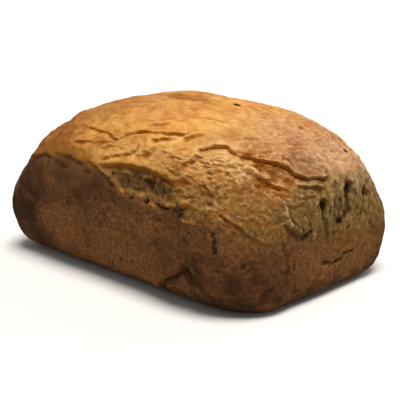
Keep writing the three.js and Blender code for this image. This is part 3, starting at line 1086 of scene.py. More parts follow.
HOLLOWS: tuple[Hollow, ...] = (
    # Torn crumb under the front lip.
    Hollow((22, -66, 66), 2.6, (13, 14, 5.0)),
    Hollow((42, -66, 64), 2.4, (11, 14, 5.0)),
    Hollow((9, -65, 67), 1.6, (4, 9, 3), hole=0.3),
    Hollow((16, -66, 65), 0.8, (1.6, 9, 2.6), hole=0.7),
    Hollow((30, -64, 67), 0.8, (3.6, 9, 1.6), hole=0.7),
    Hollow((34, -64, 65), 0.8, (2.4, 9, 2.4), hole=0.75),
    Hollow((25, -64, 62), 0.8, (4.5, 9, 1.3), hole=0.6),
    Hollow((44, -65, 64), 0.6, (1.6, 9, 2.6), hole=0.5),
    # Torn crumb under the lips at the back and the left end.
    Hollow((-32, 68, 63), 2.2, (9, 14, 3.6)),
    Hollow((-28, 68, 62), 0.9, (2.0, 9, 1.6), hole=0.8),
    Hollow((-37, 68, 64), 0.9, (2.6, 9, 1.2), hole=0.7),
    Hollow((46, 69, 61), 1.6, (7, 14, 3.0)),
    Hollow((-102, 6, 60), 1.6, (9, 6, 3.2)),
    # The trough between the deep fold and the rope.
    Hollow((89, -27, 76), 2.0, (8, 8, 6)),
    Hollow((73, -37, 85), 1.0, (6, 5, 4)),
    # Pulled-open holes in the right end.
    Hollow((107, 24, 60), 4.6, (9, 2.4, 3.6), hole=1.0),
    Hollow((107, 21, 56), 3.2, (9, 1.6, 3.6), hole=1.0),
    Hollow((107, 37, 55), 3.4, (9, 3.0, 2.6), hole=1.0),
    Hollow((107, 36, 50), 2.2, (9, 1.5, 3.0), hole=0.8),
    Hollow((107, 42, 53), 1.6, (9, 1.4, 1.8), hole=0.7),
    Hollow((107, 1, 53.5), 4.0, (9, 2.4, 3.6), hole=1.0),
    Hollow((107, -1, 49), 2.4, (9, 1.4, 3.4), hole=0.9),
    Hollow((108, 14, 43), 2.8, (9, 4.2, 2.0), hole=0.9),
    Hollow((108, 18, 46), 2.0, (9, 1.8, 2.4), hole=0.8),
    Hollow((108, 14, 52), 1.6, (9, 1.0, 5.0), hole=0.6),
    Hollow((108, 19, 51), 1.6, (9, 1.0, 4.0), hole=0.7),
    Hollow((108, 9, 51), 1.3, (9, 0.9, 4.0), hole=0.5),
    Hollow((108, 0, 39), 1.4, (9, 1.2, 5.5), hole=0.4),
    Hollow((108, -17, 41), 2.4, (9, 2.6, 1.7), hole=1.0),
    Hollow((108, -13, 42), 1.4, (9, 1.2, 1.4), hole=0.9),
    Hollow((108, 29, 45), 1.4, (9, 1.2, 3.0), hole=0.6),
    Hollow((108, 34, 43), 1.2, (9, 1.1, 2.4), hole=0.6),
    Hollow((108, 43, 36), 1.3, (9, 1.3, 2.5), hole=0.6),
    Hollow((108, 7, 37), 1.4, (9, 1.6, 1.6), hole=0.8),
    Hollow((108, 22, 38), 1.0, (9, 1.6, 1.2), hole=0.6),
    Hollow((106, 13, 60), 1.0, (9, 1.2, 2.6), hole=0.4),
    # Burst pores and small pits in the walls.
    Hollow((35, -67, 57), 1.8, (2.2, 8, 1.9), hole=1.0),
    Hollow((23, -68, 57), 1.2, (2.0, 8, 1.5), hole=0.8),
    Hollow((62, -67, 54), 1.6, (1.4, 8, 2.2), hole=0.9),
    Hollow((58, -67, 57), 1.2, (1.2, 8, 2.4), hole=0.8),
    Hollow((70, -69, 46), 1.2, (1.5, 8, 1.3), hole=0.9),
    Hollow((69, -69, 42), 0.9, (1.2, 8, 1.2), hole=0.7),
    Hollow((84, -64, 47), 1.2, (1.3, 8, 1.6), hole=0.7),
    Hollow((80, -66, 46), 0.9, (1.0, 8, 1.6), hole=0.6),
    Hollow((86, -65, 43), 1.4, (1.2, 8, 2.6), hole=0.9),
    Hollow((87, -65, 39), 1.8, (1.6, 8, 2.0), hole=1.0),
    Hollow((79, -68, 16), 1.0, (1.2, 8, 1.8), hole=0.9),
    Hollow((100, -57, 32), 1.0, (1.2, 8, 1.8), hole=0.7),
    Hollow((93, -64, 31), 0.8, (2.0, 8, 1.1), hole=0.6),
    Hollow((108, -27, 26), 1.1, (8, 1.0, 3.2), hole=0.8),
    Hollow((69.5, -71, 23.5), 2.2, (4.4, 8, 3.4), hole=0.35),
    Hollow((3, -66, 67), 1.0, (1.6, 8, 1.3), hole=0.8),
    Hollow((-38, -68, 61), 0.8, (1.4, 8, 1.2), hole=0.5),
    Hollow((-40, -68, 65), 0.8, (4.5, 8, 1.5), hole=0.6),
    Hollow((-49, -68, 66), 0.6, (2.0, 8, 1.3), hole=0.5),
    Hollow((-18, -67, 65), 0.8, (4.5, 8, 1.4), hole=0.6),
    Hollow((-28, -68, 60), 0.6, (1.3, 8, 2.2), hole=0.5),
    Hollow((-63, -69, 55), 0.6, (1.6, 8, 2.6), hole=0.45),
    Hollow((-52, -70, 45), 0.6, (1.4, 8, 1.6), hole=0.5),
    Hollow((-2, -70, 44), 0.7, (1.3, 8, 1.6), hole=0.6),
    Hollow((-14, -70, 34), 0.6, (2.4, 8, 1.0), hole=0.5),
    Hollow((-60, -70, 50), 0.7, (3.5, 8, 3), hole=0.25),
    Hollow((30, 71, 46), 1.3, (2.6, 8, 2.2), hole=0.8),
    Hollow((-22, 71, 40), 1.0, (1.6, 8, 1.6), hole=0.8),
    Hollow((62, 71, 36), 1.1, (1.5, 8, 2.2), hole=0.8),
    Hollow((-70, 70, 48), 1.1, (1.9, 8, 1.6), hole=0.8),
    Hollow((-107, -20, 42), 1.2, (8, 2.6, 2.2), hole=0.8),
    Hollow((-107, 26, 36), 1.0, (8, 1.6, 1.6), hole=0.8),
    Hollow((-106, 8, 50), 1.0, (8, 1.4, 2.2), hole=0.7),
    # Small pits in the dome.
    Hollow((35, 6, 102), 1.4, (2.8, 2.2, 8), hole=1.0),
    Hollow((72, 22, 90), 1.1, (2.0, 1.6, 8), hole=0.7),
    Hollow((92, 39, 77.5), 1.2, (2.0, 2.2, 5), hole=1.0),
    Hollow((46, 20, 100), 0.7, (3.2, 2.2, 8), hole=0.2),
    Hollow((-40, 30, 100), 0.8, (1.8, 1.4, 8), hole=0.6),
    # Flats in the dome and its corners.
    Hollow((-68, -52, 83), 3.0, (9, 11, 7)),
    Hollow((-74, -42, 85), 4.5, (8, 10, 8)),
    Hollow((-82, -58, 72), 1.8, (7, 9, 7)),
    Hollow((-94, -55, 60), 4.0, (7, 9, 7)),
    Hollow((-41, -23, 100), 1.8, (15, 14, 20)),
    Hollow((0, 29, 103), 2.4, (7, 9, 20)),
    Hollow((11, 27, 103), 2.8, (13, 12, 20)),
    Hollow((30, 29, 101), 1.2, (14, 12, 20)),
    Hollow((85, 46, 80), 2.2, (10, 10, 8)),
    Hollow((105, 50, 56), 2.8, (9, 12, 12)),
    Hollow((96, 58, 67), 2.4, (9, 9, 8)),
    # Swellings: the crown, the far left shoulder, and pillows between the creases.
    Hollow((-9, 10, 104), -1.0, (14, 12, 20)),
    Hollow((-64, -38, 91), -0.6, (8, 10, 7)),
    Hollow((-70, 10, 98), -0.9, (16, 18, 20)),
    Hollow((3, -58, 81), -1.0, (9, 8, 4)),
    Hollow((66, -45, 84), -0.9, (9, 6, 4)),
    Hollow((77, -40, 79), -1.2, (7, 5, 4)),
    Hollow((24, -55, 85), -0.9, (7, 8, 4)),
    Hollow((40, -54, 83), -1.1, (10, 8, 5)),
    Hollow((-30, -58, 83), -0.7, (12, 8, 4)),
)

TORN_PATCHES = (
    # Under the front lip.
    Patch((22, -66, 65.5), (13, 14, 4.2)),
    Patch((38, -66, 65), (10, 14, 4.6)),
    # Under the lips at the back and the left end.
    Patch((-32, 68, 63), (11, 14, 4.6)),
    Patch((46, 69, 61), (9, 14, 3.8), 0.8),
    Patch((-102, 6, 60), (9, 8, 4.0), 0.8),
    # Round the holes in the right end.
    Patch((107, 24, 57), (12, 9, 9), 0.6),
    Patch((107, 37, 53), (12, 8, 7), 0.9),
    Patch((107, 14, 50), (12, 9, 10)),
    Patch((107, 1, 50), (12, 8, 9)),
    Patch((108, -16, 42), (12, 9, 5), 0.8),
    Patch((108, 2, 37), (12, 7, 6), 0.6),
    # Beside the seam at the foot of the front.
    Patch((72, -71, 25.5), (4, 8, 3.4)),
)

OLIVE_PATCHES = (
    # Crust that tore open late, on the right end and round the near corner.
    Patch((107, 20, 56), (16, 50, 17), 0.9),
    Patch((105, 48, 48), (16, 18, 17), 0.9),
    Patch((105, -20, 52), (12, 13, 14), 0.9),
    Patch((99, -44, 52), (16, 16, 10), 0.5),
    Patch((108, 30, 26), (16, 30, 16), 0.4),
    # Under the front lip and the near shoulder, then high on the dome.
    Patch((29, -66, 67), (25, 14, 8), 0.8),
    Patch((66, -62, 62), (22, 16, 8), 0.6),
    Patch((-52, -56, 81), (30, 20, 6), 0.3),
    Patch((93, -5, 77), (10, 13, 7), 0.6),
    Patch((91, -25, 75), (7, 8, 4), 0.5),
    # Under the lips at the back and the left end.
    Patch((-30, 68, 65), (20, 14, 7), 0.7),
    Patch((48, 68, 64), (22, 14, 7), 0.6),
    Patch((-101, 8, 63), (14, 14, 7), 0.5),
)

HIGHLIGHT_PATCHES = (
    # Painted highlights and glints on the front of the dome.
    Patch((8, -58, 81), (9, 8, 5), 0.6),
    Patch((24, -59, 78.5), (26, 8, 3), 0.45),
    Patch((-8, -62, 75.5), (14, 8, 3.5), 0.3),
    Patch((32, -56, 84), (15, 9, 4), 0.6),
    Patch((-3, -66, 66), (5, 9, 3.5), 0.5),
    # The same on the near shoulder.
    Patch((65, -45, 85), (13, 9, 5)),
    Patch((75, -42, 80), (9, 7, 5), 0.9),
    Patch((64, -52, 79), (16, 9, 6), 0.7),
    Patch((50, -56, 78), (16, 9, 6), 0.45),
    Patch((79, -43, 76), (10, 7, 5)),
    Patch((76, -43, 79), (9, 6, 4)),
    # The rope of crust, and the flap down the near corner.
    Patch((84, -38, 77), (7, 5, 3.0)),
    Patch((85, -36, 77.5), (5, 4, 2.0)),
    Patch((91, -31.5, 74), (5, 4, 2.0)),
    Patch((97, -26, 70), (5, 4, 2.0), 0.9),
    Patch((98, -33, 64), (3.5, 3, 2.0), 0.6),
    Patch((103.5, -30, 58), (2.2, 2.0, 5), 0.45),
    # The head of the right end.
    Patch((92, 22, 77), (14, 20, 9), 0.25),
    Patch((101, -5, 67.5), (5, 8, 1.8), 0.5),
    # Torn little lips along the border of the brown wall.
    Patch((78, -60, 59.5), (5, 5, 1.6), 0.4),
    Patch((88, -57, 55), (7, 5, 1.4), 0.3),
    # The top right, the back and the left end.
    Patch((66, -6, 95), (24, 30, 10), 0.35),
    Patch((40, 50, 92), (34, 14, 8), 0.35),
    Patch((-20, 60, 84), (24, 12, 6), 0.35),
    Patch((-88, 20, 80), (12, 20, 8), 0.3),
)

AMBER_PATCHES = (
    # The front and the left of the dome, and the fold on its top.
    Patch((2, -58, 83), (26, 14, 6), 0.30),
    Patch((-12, -51, 91), (18, 14, 5), 0.15),
    Patch((-34, -28, 99), (30, 22, 10), 0.45),
    Patch((2, -5, 104), (22, 7, 8), 0.65),
    Patch((-40, -46, 94), (24, 14, 8), 0.3),
)

DARK_PATCHES = (
    # Painted shade on the left of the front wall: where it turns towards the left end, and under
    # its lip.
    Patch((-94, -66, 26), (14, 26, 17)),
    Patch((-79, -70, 25), (11, 26, 14), 0.85),
    Patch((-68, -70, 10), (12, 26, 11)),
    Patch((-70, -69, 55), (20, 20, 14), 0.65),
    Patch((-50, -68, 62), (28, 20, 8), 0.5),
    Patch((-36, -71, 46), (24, 20, 9), 0.35),
    Patch((-26, -70, 58), (28, 20, 11), 0.4),
    # The right of the front wall, with painted shade under its lip, along its foot and in the
    # hollow by the seam.
    Patch((100, -54, 16), (14, 14, 12), 0.7),
    Patch((32, -66, 65), (24, 14, 5), 0.3),
    Patch((60, -70, 45), (34, 20, 12), 0.2),
    Patch((80, -66, 3), (60, 30, 10), 0.9),
    Patch((84, -66, 26), (18, 20, 14), 0.5),
    Patch((20, -66, 57), (30, 14, 5), 0.4),
    Patch((71, -71, 24), (5, 9, 4.5)),
    # The right end and the near corner, with painted shade beneath the flap at the corner and along
    # the foot.
    Patch((108, 38, 51), (10, 9, 10), 0.5),
    Patch((104, -22, 52), (12, 14, 14), 0.9),
    Patch((106, 20, 3), (20, 60, 7), 0.7),
    Patch((100, -30, 56), (10, 12, 12), 0.8),
    # The left end and the back.
    Patch((-107, -20, 30), (12, 50, 26), 0.4),
    Patch((-10, 72, 54), (60, 14, 10), 0.5),
    Patch((60, 66, 8), (50, 20, 12), 0.5),
    # Redder bake high on the gold.
    Patch((48, -2, 98), (22, 16, 10), 0.35),
    Patch((-52, 4, 101), (24, 22, 12), 0.7),
    Patch((-78, -8, 92), (12, 30, 12), 0.5),
    Patch((-4, 8, 105), (12, 12, 8), 0.6),
    Patch((10, 46, 96), (40, 12, 8), 0.5),
    Patch((80, 6, 88), (12, 12, 8), 0.5),
    Patch((66, 34, 92), (10, 14, 8), 0.5),
    # The head of the right end, and painted shade in the folds of the near shoulder.
    Patch((93, -10, 76), (14, 15, 8)),
    Patch((98, -4, 70), (10, 14, 5)),
    Patch((89, 0, 80), (9, 13, 7)),
    Patch((80, -22, 86), (14, 10, 6), 0.7),
    Patch((91, -28, 75), (13, 10, 6)),
    Patch((90, -40, 68), (16, 10, 9), 0.7),
    Patch((87, -54, 59), (9, 9, 5), 0.7),
    Patch((98, -46, 50), (9, 11, 6), 0.7),
    Patch((70, -60, 66), (10, 9, 4), 0.5),
)

CREASE_PATCHES = (
    # Orange-brown shade deep in the folds of the near shoulder.
    Patch((79, -34, 82.5), (4, 4, 2.4), 0.9),
    Patch((85, -28.5, 79), (4.5, 4, 2.2), 0.8),
    Patch((91, -22, 76), (4, 4, 2.0), 0.7),
    Patch((96, -15, 72), (3.5, 4, 1.8), 0.6),
    # The same under the lips of the front wall, and on the right of the dome.
    Patch((-64, -67, 68.5), (12, 9, 1.8), 0.3),
    Patch((-46, -66, 70.5), (13, 9, 1.8), 0.4),
    Patch((-28, -65, 71), (10, 9, 1.8), 0.4),
    Patch((6, -64, 71), (11, 9, 2.2), 0.3),
    Patch((26, -63, 71.5), (13, 9, 2.2), 0.35),
    Patch((43, -63, 69), (8, 9, 2.0), 0.25),
    Patch((66, -26, 92), (9, 8, 3), 0.3),
)

GOLD_PATCHES = (
    # The flap down the near corner.
    Patch((98, -33, 64), (5, 4, 3.0), 0.75),
    Patch((103.5, -30, 58), (2.5, 2.4, 6), 0.7),
    Patch((106, -29.5, 51), (2.5, 2.4, 5), 0.6),
    # Orange crumbs of crust along the border of the front wall.
    Patch((88, -57.5, 54.5), (8, 5, 2.2), 0.65),
    Patch((14, -67, 60), (3.0, 9, 1.3), 0.55),
    Patch((30, -67, 60), (2.4, 9, 1.6), 0.55),
    Patch((40, -68, 56), (5, 9, 1.1), 0.58),
    Patch((53, -67, 58.5), (4, 9, 2.0), 0.6),
    Patch((63, -65, 60), (4, 9, 2.0), 0.6),
    Patch((70, -67, 52), (5, 9, 1.3), 0.65),
    Patch((80, -61, 58), (5, 9, 2.2), 0.55),
)

WARM_PATCHES = (
    # Lighter, warmer bake on the front wall.
    Patch((-38, -70, 28), (24, 20, 14), 0.8),
    Patch((30, -70, 44), (30, 20, 10), 0.4),
    Patch((10, -68, 22), (40, 20, 16), 0.7),
    Patch((52, -68, 12), (18, 20, 8), 0.6),
    Patch((30, -66, 58), (20, 14, 5), 0.8),
    # The right end, the back and the left end.
    Patch((98, -58, 34), (12, 16, 12), 0.2),
    Patch((108, 12, 30), (14, 40, 16), 0.9),
    Patch((0, 70, 30), (70, 20, 22), 0.7),
    Patch((-107, 20, 24), (14, 40, 14), 0.6),
)

PATCHES: Mapping[Layer, tuple[Patch, ...]] = {
    Layer.TORN: TORN_PATCHES,
    Layer.OLIVE: OLIVE_PATCHES,
    Layer.HIGHLIGHT: HIGHLIGHT_PATCHES,
    Layer.AMBER: AMBER_PATCHES,
    Layer.DARK: DARK_PATCHES,
    Layer.CREASE: CREASE_PATCHES,
    Layer.GOLD: GOLD_PATCHES,
    Layer.WARM: WARM_PATCHES,
}

RIGHT_END = Zone(x=(94, 120))
NEAR_SHOULDER = Zone(x=(34, 110), y=(-80, -20), z=(48, 86))
BACK_OF_DOME = Zone(x=(-100, 104), y=(34, 84), z=(64, 96))

WRINKLES: tuple[Wrinkles, ...] = (
    # Drapery on the near shoulder.
    Wrinkles(Zone(x=(40, 112), y=(-80, -22), z=(44, 90)), 0.42, (15, 13, 6.0), 11, crinkled=1.0),
    Wrinkles(Zone(x=(36, 110), y=(-80, -22), z=(50, 90)), 0.46, (9, 8, 4.6), 14, crinkled=1.0),
    Wrinkles(Zone(x=(30, 112), y=(-80, -10), z=(50, 90)), 0.26, (5.5, 5.0, 3.6), 17),
    Wrinkles(
        Zone(x=(80, 104), y=(-38, -10), z=(64, 84), fade=5), 0.60, (6, 5, 4.5), 59, crinkled=1.0,
    ),
    # Pulled strands on the right end.
    Wrinkles(RIGHT_END, 0.9, (20, 4.0, 24), 21, within=Layer.TORN),
    Wrinkles(RIGHT_END, 0.5, (20, 2.4, 12), 22, within=Layer.TORN),
    Wrinkles(
        Zone(x=(94, 120), y=(-30, 70), z=(26, 74), fade=12), 0.40, (20, 5.0, 9), 23, sandy=1.0,
    ),
    Wrinkles(Zone(x=(98, 120), y=(-40, 66), z=(2, 50)), 0.26, (20, 3.2, 14), 24, sandy=1.0),
    Wrinkles(Zone(x=(88, 120), y=(-64, -26), z=(2, 48)), 0.28, (3.4, 3.4, 16), 26, sandy=1.0),
    # Torn crumb under the front lip.
    Wrinkles(Zone(y=(-90, -40)), 0.55, (7, 6, 4.0), 31, within=Layer.TORN),
    # Pillows and crinkles on the front and the right of the dome.
    Wrinkles(Zone(x=(-84, 60), y=(-74, -34), z=(66, 98)), 0.40, (22, 15, 9), 40, crinkled=0.4),
    Wrinkles(Zone(x=(-84, 70), y=(-72, -34), z=(68, 97)), 0.20, (9, 7, 4.5), 41, crested=True),
    Wrinkles(Zone(x=(36, 106), y=(-36, 62), z=(66, 103)), 0.38, (8, 11, 7), 44, crinkled=0.8),
    Wrinkles(Zone(x=(30, 110), y=(-36, 66), z=(64, 106)), 0.24, (4.5, 5.5, 3.6), 46, crested=True),
    Wrinkles(Zone(x=(-90, 60), y=(-40, 60), z=(90, 130)), 0.12, (6, 8, 6), 48),
    # The same on the back of the dome and down its left end.
    Wrinkles(Zone(x=(-96, 100), y=(32, 80), z=(62, 98)), 0.40, (20, 14, 8), 60, crinkled=0.5),
    Wrinkles(Zone(x=(-96, 100), y=(30, 80), z=(64, 97)), 0.22, (8, 7, 4.0), 61, crested=True),
    Wrinkles(Zone(x=(-120, -56), y=(-56, 66), z=(60, 98)), 0.36, (13, 18, 8), 63, crinkled=0.5),
    Wrinkles(Zone(x=(-120, -52), y=(-56, 66), z=(62, 98)), 0.22, (7, 8, 4.0), 64, crested=True),
    # Slow lumps over the whole dome, and the rough walls.
    Wrinkles(Zone(z=(72, 130), fade=14), 0.30, (30, 24, 24), 51, sandy=0.15),
    Wrinkles(Zone(x=(-110, 60), z=(78, 130), fade=14), 0.16, (11, 8, 7), 56, crinkled=0.25),
    Wrinkles(Zone(z=(-20, 66), fade=14), 0.14, (7, 7, 6), 54, sandy=1.0),
    Wrinkles(Zone(x=(-4, 84), y=(-80, -48), z=(38, 66)), 0.34, (7, 6, 2.8), 57, crested=True),
    Wrinkles(Zone(x=(30, 100), y=(-80, -48), z=(30, 60)), 0.26, (3.6, 3.4, 5.0), 58),
)

SHINGLES: tuple[Shingles, ...] = (
    # The near shoulder.
    Shingles(NEAR_SHOULDER, 1.5, 8.0, 71, lumps=(9, 8, 6), stray=1.5),
    Shingles(NEAR_SHOULDER, 0.9, 6.0, 74, lumps=(8, 7, 5), stray=1.3),
    # The front of the dome, then its back and its left end.
    Shingles(Zone(x=(-84, 52), y=(-76, -36), z=(68, 96)), 0.4, 8.0, 77, shade=0.15),
    Shingles(BACK_OF_DOME, 0.7, 8.0, 81, shade=0.4),
    Shingles(BACK_OF_DOME, 0.4, 4.4, 84, lumps=(9, 8, 6)),
    Shingles(Zone(x=(-120, -58), y=(-50, 56), z=(62, 96)), 0.6, 8.0, 87, shade=0.4),
    # The top right.
    Shingles(
        Zone(x=(50, 108), y=(-24, 56), z=(68, 98)), 0.4, 6.0, 91, lumps=(11, 11, 8), shade=0.3,
    ),
)


# ---------------------------------------------------------------------- The skin as a mesh


# Where the crust turns from brown to gold: the angle in plan from +X, the height where
# the brown ends, and the height where the gold is full.
GOLD_EDGE: tuple[Place, ...] = (
    (-150, 61, 86), (-131, 64, 86), (-125, 67, 86), (-119, 69, 85), (-114, 71, 84),
    (-109, 72, 82), (-104, 71, 80), (-98, 69.5, 78), (-91, 66, 77), (-84, 63, 77),
    (-78, 61, 84), (-66, 60, 92), (-58, 59, 98), (-52, 53, 99), (-46, 48, 99), (-33, 43, 96),
    (-27, 41, 90), (-16, 42, 84), (0, 40, 78), (12, 38, 78), (24, 35, 78), (34, 40, 78),
    (46, 54, 80), (58, 62, 80), (70, 63, 78), (80, 60, 80), (92, 65, 78), (104, 61, 80),
    (116, 66, 80), (130, 62, 82), (144, 60, 84), (158, 62, 82), (170, 66, 80), (182, 61, 82),
    (196, 64, 84),
)


@dataclass(frozen=True)
class Bake:
    """How the crust is baked: brown walls, a golden top, amber left, tan right.

    The gold comes in two steps, with a share of it in each: the first is done after
    first_span of the way. Below the tan, the near shoulder and the right end are honey.
    The amber grows towards the left end and lower down, partly a deeper bake and partly
    painted shade where the dome turns from the light.
    """

    edge: tuple[Place, ...] = GOLD_EDGE
    stray: float = 2.5
    stray_lumps: Grain = Grain(12.0, 61, octaves=2)
    first_span: float = 0.45
    step_shares: Span = (0.42, 0.58)
    patchiness: float = 0.25
    patches: Grain = Grain(26.0, 62, octaves=2)
    amber_end: float = 84.0
    amber_span: float = 74.0
    tan_start: float = 40.0
    tan_span: float = 62.0
    tan_height: float = 58.0
    tan_tilt: float = 0.45
    tan_fade: float = 20.0

    def paint(self, skin: Skin, form: LoafForm) -> None:
        """Paint the bake on a skin.

        Args:
            skin: The skin.
            form: The plain loaf that it lies on.
        """
        x, y, z = skin.wander.T
        angle = np.degrees(np.arctan2(y / form.wall_half_width, x / form.wall_half_length))
        angles, edges, golds = np.array(self.edge).T
        edge = np.interp(angle, angles, edges, period=360.0)
        gold = np.interp(angle, angles, golds, period=360.0)
        height = z + self.stray * self.stray_lumps.at(skin.rest) - edge
        first = smooth(0.5 + height / (self.first_span * (gold - edge)))
        second = smooth(height / (gold - edge))
        golden = self.step_shares[0] * first + self.step_shares[1] * second
        patches = self.patchiness * self.patches.at(skin.rest)
        # Amber towards the left end and lower down: partly a deeper bake, partly painted shade.
        amber = smooth((self.amber_end - x - z) / self.amber_span) + patches
        tan = np.clip(smooth((x - self.tan_start) / self.tan_span) + patches, 0.0, 1.0)
        high = smooth((z + self.tan_tilt * y - self.tan_height) / self.tan_fade)
        everywhere = np.arange(len(x))
        skin.stain(Layer.GOLD, everywhere, golden)
        skin.stain(Layer.AMBER, everywhere, amber)
        skin.stain(Layer.TAN, everywhere, tan * high)
        skin.stain(Layer.HONEY, everywhere, tan * (1.0 - high))


@dataclass(frozen=True)
class LoafSkin:
    """The crust: a fine closed skin, with its folds, hollows and wrinkles.

    cells are the divisions along X and Y and up the walls. The foot of the cage of rays
    is drawn in to foot_reach, so that its lowest row lies on the flat base.
    """

    form: LoafForm = LoafForm()
    bake: Bake = Bake()
    cells: tuple[int, int, int] = (212, 138, 94)
    cell_bias: Place = (0.14, -0.14, 0.06)
    foot_reach: Span = (90.0, 41.0)
    ray_foot: float = -45.0
    ray_top: float = 52.0
    flat_below: float = 0.05
    swells: tuple[Waves, ...] = (Waves(0.45, (107.0, 94.0), bend=10.0), Waves(0.25, (47.0, 53.0)))
    rough_height: float = 0.22
    rough_lumps: Grain = Grain(6.0, 5, octaves=3)
    edge_fade: float = 5.0
    relief_rounds: tuple[int, int] = (4, 14)
    relief_full: Place = (0.22, 0.6, 0.55)
    slope_full: float = 0.45

    # A face whose normal is lower than this is the floor of the cage.
    FLOOR_NORMAL = -0.5

    def build(self) -> bpy.types.Object:
        """Model the crust and bring it to its place.

        Returns:
            The piece.
        """
        piece = self._cage()
        mesh = piece.data
        count = len(mesh.vertices)
        cube = np.zeros(count * 3)
        mesh.vertices.foreach_get("co", cube)
        skin = Skin.on(self.form, self._rays(cube.reshape(-1, 3)))
        self._press_all(skin)
        skin.stain_relief(edge_pairs(mesh), self.relief_rounds, self.relief_full)
        self.bake.paint(skin, self.form)
        mesh.vertices.foreach_set("co", (self._settled(skin.moved()) * MM).ravel())
        mesh.update()
        normals = np.zeros(count * 3)
        mesh.vertex_normals.foreach_get("vector", normals)
        skin.stain_slopes(normals.reshape(-1, 3), self.slope_full)
        for layer, values in skin.paint.items():
            attribute = mesh.attributes.new(layer.value, "FLOAT", "POINT")
            attribute.data.foreach_set("value", values)
        self._close()
        return piece

    def _cage(self) -> bpy.types.Object:
        """Model a cube with no floor, its edges divided into the cells of the skin.

        Returns:
            The cube.
        """
        deselect_all()
        bpy.ops.mesh.primitive_cube_add(size=2.0, location=(0.0, 0.0, 0.0))
        piece = bpy.context.active_object
        piece.name = "crust_skin"
        piece.data.name = "crust_skin"
        floor = [face.normal.z < self.FLOOR_NORMAL for face in piece.data.polygons]
        self._select(piece, "FACE", floor)
        bpy.ops.mesh.delete(type="ONLY_FACE")
        bpy.ops.object.mode_set(mode="OBJECT")
        for axis, cells in enumerate(self.cells):
            self._select(piece, "EDGE", self._along(piece.data, axis))
            bpy.ops.mesh.subdivide(number_cuts=cells - 1)
            bpy.ops.object.mode_set(mode="OBJECT")
        return piece

    @staticmethod
    def _select(piece: bpy.types.Object, kind: str, chosen: Sequence[bool]) -> None:
        """Enter edit mode with only some faces or edges selected.

        Args:
            piece: The piece.
            kind: FACE or EDGE.
            chosen: Whether each of them is selected.
        """
        bpy.ops.object.mode_set(mode="EDIT")
        bpy.ops.mesh.select_mode(type=kind)
        bpy.ops.mesh.select_all(action="DESELECT")
        bpy.ops.object.mode_set(mode="OBJECT")
        elements = piece.data.polygons if kind == "FACE" else piece.data.edges
        elements.foreach_set("select", chosen)
        bpy.ops.object.mode_set(mode="EDIT")

    @staticmethod
    def _along(mesh: bpy.types.Mesh, axis: int) -> np.ndarray:
        """Which edges run along an axis.

        Args:
            mesh: The mesh.
            axis: The number of the axis.

        Returns:
            Whether each edge does.
        """
        places = np.zeros(len(mesh.vertices) * 3)
        mesh.vertices.foreach_get("co", places)
        start, end = places.reshape(-1, 3)[edge_pairs(mesh)].transpose(1, 0, 2)
        return np.argmax(np.abs(end - start), axis=1) == axis

    def _rays(self, cube: np.ndarray) -> np.ndarray:
        """Where the vertices of the cage lie, seen from the middle of the loaf.

        Args:
            cube: Their places on the cube, one per row.

        Returns:
            A direction for each.
        """
        eased = cube + np.array(self.cell_bias) * (1.0 - cube**2)
        rise = 0.5 + 0.5 * eased[:, 2]
        form = self.form
        return np.stack(
            [
                eased[:, 0] * mix(self.foot_reach[0], form.wall_half_length, rise),
                eased[:, 1] * mix(self.foot_reach[1], form.wall_half_width, rise),
                mix(self.ray_foot, self.ray_top, rise),
            ],
            axis=1,
        )

    def _press_all(self, skin: Skin) -> None:
        """Work all the relief into a skin, fading in above the base.

        Args:
            skin: The skin.
        """
        for waves in self.swells:
            waves.press(skin)
        skin.height += self.rough_height * self.rough_lumps.at(skin.rest)
        for layer, patches in PATCHES.items():
            for patch in patches:
                patch.press(skin, layer)
        for relief in (*WRINKLES, *SHINGLES, *HOLLOWS):
            relief.press(skin)
        for fold in FOLDS:
            fold.press(skin, self.form)
        rise = smooth(skin.rest[:, 2] / self.edge_fade)
        skin.height *= rise
        skin.slide *= rise[:, None]

    def _settled(self, places: np.ndarray) -> np.ndarray:
        """Vertices with a flat base at height 0, and with the loaf's middle over the origin.

        Args:
            places: The vertices, one per row.

        Returns:
            The same, moved.
        """
        settled = places.copy()
        settled[:, 2] = np.where(places[:, 2] < self.flat_below, 0.0, places[:, 2])
        middle = (settled.min(axis=0) + settled.max(axis=0)) / 2.0
        return settled - np.array([middle[0], middle[1], 0.0])

    @staticmethod
    def _close() -> None:
        """Fill the base of the active piece, turn all faces outward and smooth the shading."""
        bpy.ops.object.mode_set(mode="EDIT")
        bpy.ops.mesh.select_mode(type="EDGE")
        bpy.ops.mesh.select_all(action="DESELECT")
        bpy.ops.mesh.select_non_manifold()
        bpy.ops.mesh.edge_face_add()
        bpy.ops.mesh.select_all(action="SELECT")
        bpy.ops.mesh.normals_make_consistent(inside=False)
        bpy.ops.object.mode_set(mode="OBJECT")
        bpy.ops.object.shade_smooth()


# ---------------------------------------------------------------------- Shader helpers


